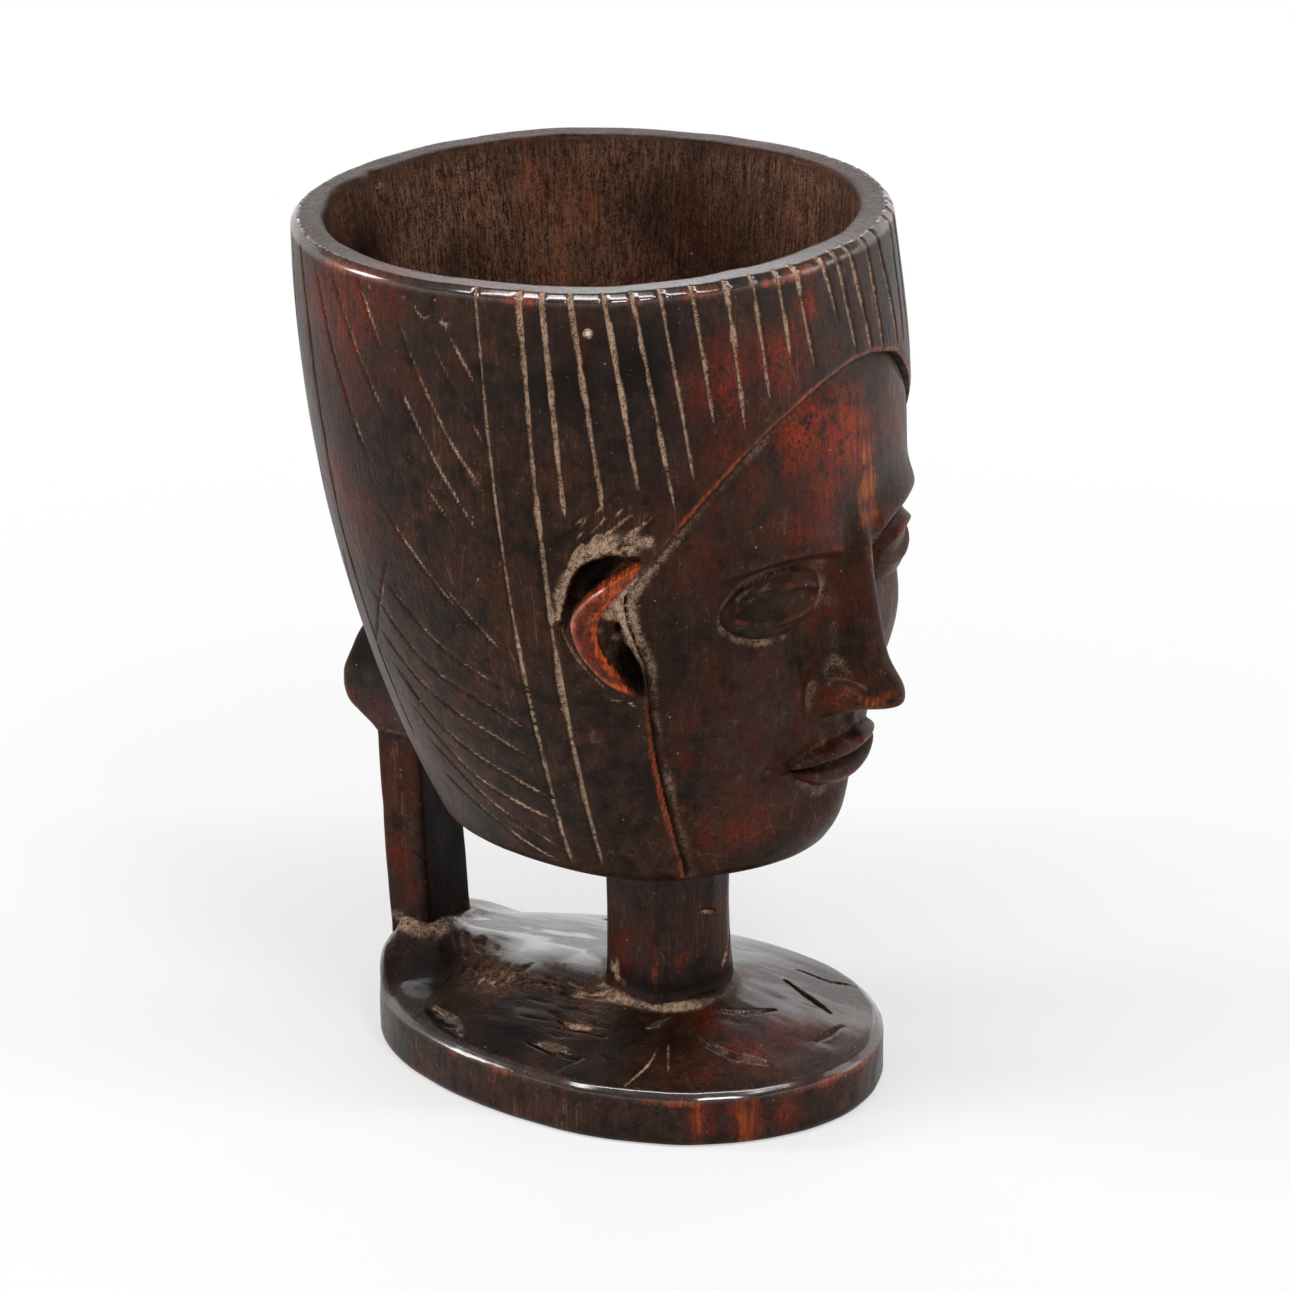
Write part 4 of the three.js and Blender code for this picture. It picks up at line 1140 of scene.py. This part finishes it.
# Each slip's other side is painted black as painted shade.
top_soot = top_soot * (1 - torn_area * 0.6) + 1.4 * unit(slip_depth - lit_side) - lit_side
far_side = step(0.843 * plan_x + 0.537 * plan_y, -6, 12)
top_wax = (0.28 + 0.62 * far_side * step(plan_y, -30, 4)) * (1 - torn_area)
top_wax *= 1 - 0.8 * bell(near_post, 2, 8) * (1 - far_side)
top_wear = 0.3 * bell(1 - top_share, 0, 0.02) + 0.35 * fresh * unit(torn_depth * 2)
top_paint = {"dust": np.clip(top_dust, 0, 1.1), "wear": top_wear, "soot": unit(top_soot), "red": top_red,
             "bare": unit(fresh * 0.8 + 0.7 * torn_area), "wax": top_wax}
print("share of torn wood:", round(float(torn_area.mean()), 2))

# %% [markdown]
# ## Closing the foot
# The side is redder where hands lift the cup, and its upper edge is worn and waxed. A flat sheet underneath
# closes the plate.

# %% Sheets of the foot
side_red = soft_spots(foot_side, [(-34, -40, 6, 6, .9), (-28, -47, 6, 7, 1), (-20, -53, 6, 6, .85),
                                  (-11, -56, 9, 6, .5), (2, -59, 9, 8, .4), (-42, 14, 6, 8, .35),
                                  (42, 0, 6, 20, .4), (0, 57, 6, 20, .4)])
side_wear = 0.7 * bell(side_height, top_edge - 2.2, 1.0) * (0.45 + 0.8 * ripple(foot_side, 7, 71))
side_wear += 0.3 * bell(side_height, 0, 1.2)
side_wear += 0.95 * side_red * unit(0.35 + ripple(foot_side * (1, 1, 0.25), 2.2, 72))
foot = Carving("foot_plate")
foot.sheet(foot_side, (0, 0.7, 1, 1), red=side_red, wear=unit(side_wear),
           dust=0.3 * unit(tool_marks * 3) + 0.25 * unit(ripple(foot_side, 11, 73)),
           wax=0.04 + 0.96 * step(side_height, top_edge - 2.2, top_edge - 1.4))
foot.sheet(foot_top, (0, 0.2, 1, 0.69), **top_paint)
foot.sheet(foot_point(foot_turn, np.linspace(1, 0, 7)[:, None], 1.2 - edge_wave, 0), (0, 0, 1, 0.18),
           red=0.3, dust=0.3)
foot_piece = foot.build(sharp=55)

# %% [markdown]
# ## The handle
# A square post stands at the back of the foot and meets the head in a bent knuckle like an elbow. Both are
# stacks of rectangles with softened corners. Each rectangle is given by height, half-width, front, back and
# corner, and the stack between them is filled in and trimmed with a few knife facets.

# %% Stack of rectangles
def rectangle(z, half, front, back, corner):
    arc = np.radians(np.linspace(0, 90, 4))
    loop = []
    for quarter, (x, y) in enumerate(((half, back), (-half, back), (-half, front), (half, front))):
        turns = arc + quarter * np.pi / 2
        middle = (x - corner * np.sign(x), y - corner * (1 if y == back else -1))
        loop += [(middle[0] + corner * np.cos(turn), middle[1] + corner * np.sin(turn), z) for turn in turns]
    loop = np.array(loop + loop[:1])
    sides = []
    for i in range(len(loop) - 1):
        is_long = i % len(arc) == len(arc) - 1
        share = np.linspace(0, 1, 10 if is_long else 2, endpoint=False)
        sides.append(between(loop[i], loop[i + 1], share[:, None]))
    return np.vstack(sides + [loop[:1]])


def stacked(name, levels, rows, seed, rules):
    """A piece from a stack of rectangles; rules gives its paint."""
    levels = np.array(levels)
    height = np.linspace(levels[0, 0], levels[-1, 0], rows)
    sizes = np.stack([np.interp(height, levels[:, 0], levels[:, i]) for i in range(1, 5)], -1)
    padded = np.pad(sizes, ((2, 2), (0, 0)), mode="edge")
    sizes[1:-1] = (sum(padded[i:i + rows] for i in range(5)) / 5)[1:-1]
    points = np.stack([rectangle(z, *size) for z, size in zip(height, sizes)])
    middle = points.mean(1, keepdims=True)
    away = (points - middle) * (1, 1, 0)
    marks = 0.45 * scallops(points * (1, 1, 0.4), 6, seed) + 0.2 * ripple(points, 9, seed + 1)
    marks += 0.06 * ripple(points * (1, 1, 0.3), 2, seed + 2)
    inner = unit(np.minimum(height - height[0], height[-1] - height) / 2)[:, None]
    points -= of_length_one(away) * (marks * inner)[..., None]
    spread = np.linalg.norm((points - middle) * (1, 1, 0), axis=-1)
    corners = unit((spread - blurred(spread, 4)) / 0.8)
    piece = Carving(name)
    piece.sheet(points, (0, 0.25, 1, 1), **rules(points, corners, marks))
    piece.caps(points, [points[row].mean(0) for row in (0, -1)], 4, soot=0.4)
    return piece.build(sharp=50)


print("points around one rectangle:", len(rectangle(0, 8, -5, 5, 1)))

# %% [markdown]
# ## Post and elbow
# The post leans back a little as it rises and is painted black in front, as shade under the bowl. The elbow
# swells to its knee and draws in again under the head; it is painted red below the knee and black above it.
# Each has its own rule for its paint.

# %% Post and elbow
def post_paint(points, corners, marks):
    x, y, z = points[..., 0], points[..., 1], points[..., 2]
    pale = soft_spots(points * (1, 1, 0.3), [(-8.2, 57.5, 15.5, 1.2, .75), (-8.2, 58, 13, .9, .6),
                                             (-8.2, 54, 10, 1, .5)])
    dust = 0.7 * bell(z, 21, 3) * (0.55 + 0.6 * ripple(points, 3, 82)) + 0.1 * marks + 0.45 * pale
    return {"dust": dust, "wear": 0.5 * corners * (0.7 + 0.5 * ripple(points, 6, 80)) + 0.3 * pale,
            "red": 0.22 + 0.25 * ripple(points, 8, 81) + 0.1 * (x < -6),
            # the black of the front face is painted shade under the bowl
            "soot": 0.8 * step(-y, -52, -48) * (np.abs(x) < post_half + 0.4)}


def elbow_paint(points, corners, marks):
    z = points[..., 2]
    return {"wear": 0.4 * corners, "red": 0.4 * unit((79 - z) / 3) + 0.15, "soot": 0.75 * unit((z - 78) / 4),
            "dust": 0.22 * marks + 0.45 * bell(z, 66, 0.9), "wax": 0.12}


post_foot, post_top, post_lean = post_low[2] + 0.2, post_high[2], 3.1
post_rows = []
for z in np.linspace(post_foot, post_top, 14):
    lean = post_lean * (1 - (1 - (z - post_foot) / (post_top - post_foot)) ** 1.6)
    half = post_half - 0.3 * math.sin(math.pi * (z - 15) / 50)
    post_rows.append((z, half, post_middle - post_half_deep + lean, post_middle + post_half_deep + lean, 1.0))
elbow_rows = [(65, 8.4, 49.6, 61, 1.2), (66.2, 8.9, 49.4, 62, 1.3), (71.5, 10.6, 47.5, 67.6, 1.8),
              (74.5, 10.9, 46.2, 68.6, 2), (79, 10.9, 46.6, 68.5, 2), (87, 10, 49, 65.2, 1.8),
              (97, 8.8, 53.2, 59.6, 1.6)]
post_piece = stacked("handle_post_shaft", post_rows, 80, 91, post_paint)
elbow_piece = stacked("handle_elbow_knuckle", elbow_rows, 60, 95, elbow_paint)

# %% [markdown]
# ## Shader sums as plain Python
# A finish is a sum of masks, and sums read best as sums. One small class wraps a socket, so that adding,
# subtracting or multiplying it adds a Math node. All other nodes come from one method, which sets the node's
# choices first and then its sockets. Colours are written as on a paint card and turned into light values.

# %% The classes for finishes
def shade(code):
    parts = [int(code[i:i + 2], 16) / 255 for i in (0, 2, 4)]
    return (*[part / 12.92 if part <= 0.04045 else ((part + 0.055) / 1.055) ** 2.4 for part in parts], 1.0)


class Wire:
    """A node's output that can be used like a number."""

    def __init__(self, finish, socket):
        self.finish, self.socket = finish, socket

    def __add__(self, other):
        return self.finish.maths("ADD", self, other)

    def __sub__(self, other):
        return self.finish.maths("SUBTRACT", self, other)

    def __rsub__(self, other):
        return self.finish.maths("SUBTRACT", other, self)

    def __mul__(self, other):
        return self.finish.maths("MULTIPLY", self, other)

    def __abs__(self):
        return self.finish.maths("ABSOLUTE", self)

    __radd__, __rmul__ = __add__, __mul__

    def limited(self):
        return self.finish.maths("ADD", self, 0.0, use_clamp=True)

    def rise(self, low, high):
        """0 below low, 1 above high and smooth between them."""
        sockets = {"Value": self, "From Min": low, "From Max": high}
        return self.finish.node("ShaderNodeMapRange", {"interpolation_type": "SMOOTHSTEP"}, sockets)


class Finish:
    """The node tree of a new material, or of the world that is given."""

    def __init__(self, name, owner=None):
        self.owner = owner or bpy.data.materials.new(name)
        self.owner.use_nodes = True
        self.tree = self.owner.node_tree
        self.tree.nodes.clear()

    def node(self, kind, choices, sockets, output=0):
        made = self.tree.nodes.new(kind)
        for key, value in choices.items():
            setattr(made, key, value)
        for key, value in sockets.items():
            if isinstance(value, Wire):
                self.tree.links.new(value.socket, made.inputs[key])
            else:
                made.inputs[key].default_value = shade(value) if isinstance(value, str) else value
        return Wire(self, made.outputs[output]) if made.outputs else None

    def maths(self, operation, *values, **choices):
        return self.node("ShaderNodeMath", {"operation": operation, **choices}, dict(enumerate(values)))

    def paint(self, name):
        return self.node("ShaderNodeAttribute", {"attribute_name": name}, {}, "Fac")

    def noise(self, where, scale, detail, roughness):
        sockets = {"Vector": where, "Scale": scale, "Detail": detail, "Roughness": roughness}
        return self.node("ShaderNodeTexNoise", {}, sockets)

    def stretched(self, where, scale, turned=(0, 0, 0)):
        return self.node("ShaderNodeMapping", {}, {"Vector": where, "Scale": scale, "Rotation": turned})

    def mixed(self, share, first, second):
        return self.node("ShaderNodeMix", {"data_type": "RGBA"}, {0: share, 6: first, 7: second}, 2)


print("half grey as a light value:", round(shade("808080")[0], 3))

# %% [markdown]
# ## The noises of the wood
# Six noises of different sizes give the wood its life. Fibre and streak are stretched upright, as the grain
# runs. Cloud, mottle, crumbs and grit are even in all directions, from blotches as wide as a thumb down to
# specks. Every layer of the finish uses them, so they are made once.

# %% Noises that all the layers share
class Wood(Finish):
    def __init__(self, name):
        super().__init__(name)
        self.here = self.node("ShaderNodeTexCoord", {}, {}, "Object")
        fibre = self.noise(self.stretched(self.here, (1, 1, 0.07)), 1500, 4, 0.6)
        streak = self.noise(self.stretched(self.here, (1, 1, 0.10)), 330, 4, 0.6)
        cloud, mottle = self.noise(self.here, 55, 4, 0.6), self.noise(self.here, 260, 4, 0.7)
        crumbs, grit = self.noise(self.here, 850, 3, 0.65), self.noise(self.here, 3000, 3, 0.75)
        self.noises = fibre, streak, cloud, mottle, crumbs, grit


print("lumps from", round(1000 / 55), "mm down to", round(1000 / 3000, 1), "mm")

# %% [markdown]
# ## Black and red
# The wood is near black where smoke, oil and wax have built up, and red-brown where they are thin; a few red
# spots on the hair are also a painted sheen. Thin pale lines are scratches in that old skin: each is the
# place where a slow noise crosses its middle value.

# %% The wood under the wax
def black_and_red(wood, ground, glow, redder):
    fibre, streak, cloud, mottle, crumbs, grit = wood.noises
    red = wood.paint("red")
    deep = wood.mixed((mottle * 0.6 + cloud * 0.4).rise(0.38, 0.62), ground, "4c2c1c")
    deep = wood.mixed(((fibre - 0.5) * 1.8 + (grit - 0.5) * 1.6 + 0.15).limited(), deep, "0d0805")
    uneven_red = red * 1.1 + (cloud - 0.5) * 1.3 + (streak - 0.5) * 1.5 + (crumbs - 0.5) * 1.3
    redness = (uneven_red + (redder - 0.26)).rise(0.0, 0.9)
    body = wood.mixed(redness * (0.3 + fibre * 1.1), deep, glow)
    patches = (crumbs * 0.3 + grit * 0.35 + fibre * 0.35).rise(0.42, 0.64)
    bright = (redness * patches * (red - 0.25).limited() * 1.7).limited()
    body = wood.mixed(bright * 0.9, body, "aa3c12")
    clot = (mottle * 0.4 + crumbs * 0.35 + streak * 0.25).rise(0.48, 0.57) * (0.5 + red * 0.45)
    return wood.mixed(clot.limited(), body, "0c0604")


def scratched(wood, body):
    _, _, cloud, mottle, _, _ = wood.noises
    for turned, scale in (((0.1, 0.1, 0.4), 210), ((0.9, 0.5, 1.3), 150), ((-0.8, 0.4, 2.2), 170)):
        drift = wood.noise(wood.stretched(wood.here, (1, 1, 0.08), turned), scale, 2, 0.4)
        line = (1 - abs(drift - 0.5) * 150).limited()
        body = wood.mixed(line * (cloud * 0.5 + mottle * 0.5).rise(0.5, 0.6) * 0.5, body, "8a5a40")
    return body


print("the layers under the wax read the paint red")

# %% [markdown]
# ## Bare, worn, sooty and dusty wood, with painted light and shade
# Where no wax was ever rubbed in, the wood is a pale brown with dark pores. Where hands rubbed it away
# again, the orange of the fresh wood shows through in streaks; the same layer paints the highlight down the
# forehead and light on the pale patch inside. Soot comes as a black film, and the same black paints shade in
# hollows, steps and hidden faces. Dust lies over everything, brown where it is thin and pale where it is
# thick, and the same layer paints the lit sides of the slips on the foot; a value far above 1 marks a chip
# that shows white, and over the ear's arch a painted highlight. A few round specks of dust are strewn over
# the whole cup.

# %% Layers over the wood
def bare_worn_and_lit(wood, body, grain, worn_and_lit):
    fibre, streak, cloud, mottle, crumbs, grit = wood.noises
    bare = wood.paint("bare")
    strand = wood.noise(wood.stretched(wood.here, grain), 1700, 5, 0.75)
    raw = wood.mixed((strand * 0.3 + fibre * 0.3 + grit * 0.4).rise(0.42, 0.6), "1b110d", "a87a62")
    body = wood.mixed((bare * (0.7 + (cloud - 0.5) * 1.6 + (streak - 0.5) * 1.2)).limited(), body, raw)
    uneven_wear = wood.paint("wear") + (streak - 0.5) * 0.8 + (crumbs - 0.5) * 1.0 + (mottle - 0.5) * 0.6
    wearness = uneven_wear.rise(0.32, 1.0) * 0.9
    # orange wear, and the painted highlight down the forehead
    body = wood.mixed(wearness, body, wood.mixed(fibre.rise(0.35, 0.65), "6b2510", worn_and_lit))
    return body, bare, strand


def sooty_and_dusty(wood, body):
    _, _, cloud, mottle, crumbs, grit = wood.noises
    soot = wood.paint("soot")
    # black soot, and painted shade
    body = wood.mixed((soot + (cloud - 0.5) * 0.3).limited(), body, "080504")
    dust = wood.paint("dust")
    uneven_dust = dust + (crumbs - 0.5) * 0.9 + (grit - 0.5) * 1.5 + (mottle - 0.5) * 0.4
    dustness = uneven_dust.rise(0.15, 1.0) * 0.92
    thick = (grit * 0.6 + crumbs * 0.4).rise(0.38, 0.57) * dust.rise(0.25, 0.8)
    body = wood.mixed(dustness, body, wood.mixed(thick, "563c28", "dfbb9e"))
    # white chips, and a painted highlight over the ear's arch
    body = wood.mixed(dust.rise(1.3, 2.5), body, "f2e8dc")
    for scale, wide, rare, colour in ((420, 0.1, 0.8, "b89a86"), (800, 0.15, 0.74, "7d5a46")):
        cells = {"Vector": wood.here, "Scale": scale}
        chosen = wood.node("ShaderNodeTexVoronoi", {}, cells, "Color").rise(rare, rare + 0.02)
        far = wood.node("ShaderNodeTexVoronoi", {}, cells, "Distance").rise(wide * 0.6, wide)
        body = wood.mixed((1 - far) * chosen * 0.8, body, colour)
    return body, soot, dustness


print("the layers over it read the paints bare, wear, soot and dust")

# %% [markdown]
# ## Waxed wood
# All members share one recipe, with small changes in how red or how shiny each one is. The wax is a thin coat
# that mirrors more sharply than the wood below it, and dust, soot, the painted shade and highlights, and bare
# wood take that coat away. The same noises that colour the wood also feed a small bump, so that the shine
# breaks up where the colour changes.

# %% The recipe of the wood
def waxed_wood(name, ground="20160e", glow="5f1c0c", worn_and_lit="a8501f", redder=0, gloss=0.33, grain=(1, 1, 0.4)):
    wood = Wood(name)
    fibre, streak, cloud, mottle, crumbs, grit = wood.noises
    body = scratched(wood, black_and_red(wood, ground, glow, redder))
    body, bare, strand = bare_worn_and_lit(wood, body, grain, worn_and_lit)
    body, soot, dustness = sooty_and_dusty(wood, body)
    matt = (dustness + soot * 0.8 + bare).limited()
    wax = (wood.paint("wax") * 0.95 + 0.03 + (mottle - 0.5) * 0.2).limited()
    shine = gloss + (cloud - 0.5) * 0.14 + (mottle - 0.5) * 0.22 + (streak - 0.5) * 0.10 + matt * 0.35
    height = fibre * 0.4 + crumbs * 0.5 + streak * 0.6 + grit * 0.35 + mottle * 0.8
    height = height + dustness * grit * 1.2 + bare * strand * 1.6
    normal = wood.node("ShaderNodeBump", {}, {"Height": height, "Strength": 0.65, "Distance": 0.0005})
    skin = wood.node("ShaderNodeBsdfPrincipled", {}, {
        "Base Color": body, "Roughness": shine.limited(), "Normal": normal,
        "IOR": 1.5, "Specular IOR Level": 0.065,
        "Coat Weight": (1 - matt) * wax, "Coat Roughness": 0.15, "Coat IOR": 1.8})
    wood.node("ShaderNodeOutputMaterial", {}, {"Surface": skin})
    return wood.owner


hair_wood = waxed_wood("hair_wood")
# the skin's wear colour also paints the highlight down the forehead
skin_wood = waxed_wood("skin_wood", glow="6e200d", worn_and_lit="bc6026", redder=0.02, gloss=0.36)
ear_wood = waxed_wood("ear_wood", glow="6a200f", worn_and_lit="d05a1f", redder=0.15)
foot_wood = waxed_wood("foot_wood", ground="160e0a", gloss=0.26, grain=(1, 0.12, 1))
neck_wood = waxed_wood("neck_wood", ground="1a110c", gloss=0.32)
handle_wood = waxed_wood("handle_wood", ground="1a110c", gloss=0.34)
print("nodes in one finish:", len(hair_wood.node_tree.nodes))

# %% [markdown]
# ## Dressing the members
# Each carved piece takes the place of its CAD member, rides on the cup's one body and gets its finish. The
# slot is the name under which the parts library knows the material of that member.

# %% Give every piece its finish and its place
dressing = [(bowl_piece, "bowl", "head_wood", hair_wood), (face_piece, "face", "face_wood", skin_wood),
            (ear_pieces["right_ear"], "right_ear", "face_wood", ear_wood),
            (ear_pieces["left_ear"], "left_ear", "face_wood", ear_wood),
            (neck_piece, "neck", "foot_wood", neck_wood), (foot_piece, "foot", "foot_wood", foot_wood),
            (post_piece, "handle_post", "handle_wood", handle_wood),
            (elbow_piece, "handle_elbow", "handle_wood", handle_wood)]
for piece, node, slot, material in dressing:
    piece.data.materials.append(material)
    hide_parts(node)
    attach(piece, "root")
    print(piece.name, "stands for", node)

# %% [markdown]
# ## The floor
# The cup stands on a pale floor that curves up into a low wall all round, as in a photographer's studio. The
# wax mirrors that white wall at a low angle and the dim ceiling above it, which is what makes the shine roll
# over the carving. Near the cup the floor shows its shadow; further away it fades to plain white.

# %% The floor and its finish
ring = np.radians(np.arange(0, 360, 5))
profile = [(2.6, 0.0), (2.85, 0.06), (3.0, 0.25), (3.03, 1.5)]
floor_points = [(0, 0, 0)]
for reach, up in profile:
    floor_points += [(reach * math.cos(turn), reach * math.sin(turn), up) for turn in ring]
floor_faces = [(0, 1 + i, 1 + (i + 1) % len(ring)) for i in range(len(ring))]
for start in range(1, 1 + (len(profile) - 1) * len(ring), len(ring)):
    for i in range(len(ring)):
        after = (i + 1) % len(ring)
        floor_faces.append((start + i, start + len(ring) + i, start + len(ring) + after, start + after))
floor_mesh = bpy.data.meshes.new("floor")
floor_mesh.from_pydata(floor_points, [], floor_faces)
floor = bpy.data.objects.new("floor", floor_mesh)
bpy.context.scene.collection.objects.link(floor)

pale = Finish("pale_floor")
seen = pale.node("ShaderNodeLightPath", {}, {}, "Is Camera Ray")
for ray in ("Is Glossy Ray", "Is Transmission Ray"):
    seen = seen + pale.node("ShaderNodeLightPath", {}, {}, ray)
here = pale.node("ShaderNodeTexCoord", {}, {}, "Object")
from_cup = pale.node("ShaderNodeVectorMath", {"operation": "LENGTH"}, {0: here}, "Value")
shadowed = pale.node("ShaderNodeBsdfDiffuse", {}, {"Color": (0.9, 0.9, 0.9, 1)})
white = pale.node("ShaderNodeEmission", {}, {"Color": (1, 1, 1, 1), "Strength": 1.0})
share = (seen * (from_cup.rise(0.06, 0.45) * 0.5 + 0.5)).limited()
both = pale.node("ShaderNodeMixShader", {}, {0: share, 1: shadowed, 2: white})
pale.node("ShaderNodeOutputMaterial", {}, {"Surface": both})
floor_mesh.materials.append(pale.owner)
print("floor of", len(floor_faces), "faces")

# %% [markdown]
# ## The light
# A long narrow strip above draws the thin glints along the rim and the foot. A small lamp in front and two
# larger ones at the sides lift the carving out of the dark, and a wide one behind shines on the waxed far
# side of the foot. The world adds a little even light. The view is Standard, so the white stays white.

# %% World and lamps
world = bpy.data.worlds.new("studio")
bpy.context.scene.world = world
ceiling = Finish("studio", world)
sky = ceiling.node("ShaderNodeBackground", {}, {"Color": (0.95, 0.97, 1, 1), "Strength": 0.18})
ceiling.node("ShaderNodeOutputWorld", {}, {"Surface": sky})


def lamp(name, turn, rise, far, size, power):
    """A lamp on a stand: turned around the cup and raised by two angles in degrees, and aimed at the cup."""
    turn, rise = math.radians(turn), math.radians(rise)
    light = bpy.data.lights.new(name, "AREA")
    light.shape, light.size, light.size_y, light.energy = "RECTANGLE", size[0], size[1], power
    stand = bpy.data.objects.new(name, light)
    stand.location = Vector((0, 0, 0.1)) + direction(turn, rise) * far
    stand.rotation_euler = (math.pi / 2 - rise, 0, turn)
    bpy.context.scene.collection.objects.link(stand)
    print(name, "at", tuple(round(value, 2) for value in stand.location))


lamp("strip above", -57, 74, 1.3, (2.0, 0.09), 12)
lamp("front", -35, 47, 1.25, (0.25, 0.2), 3.2)
lamp("left", -150, 22, 1.2, (0.25, 0.6), 6)
lamp("right", 48, 22, 1.3, (0.45, 0.8), 1.6)
lamp("back", 126, 25, 1.5, (1.3, 0.55), 5)
bpy.context.scene.view_settings.view_transform = "Standard"

# %% [markdown]
# ## Update the scene

# %% Update the scene
bpy.context.view_layer.update()
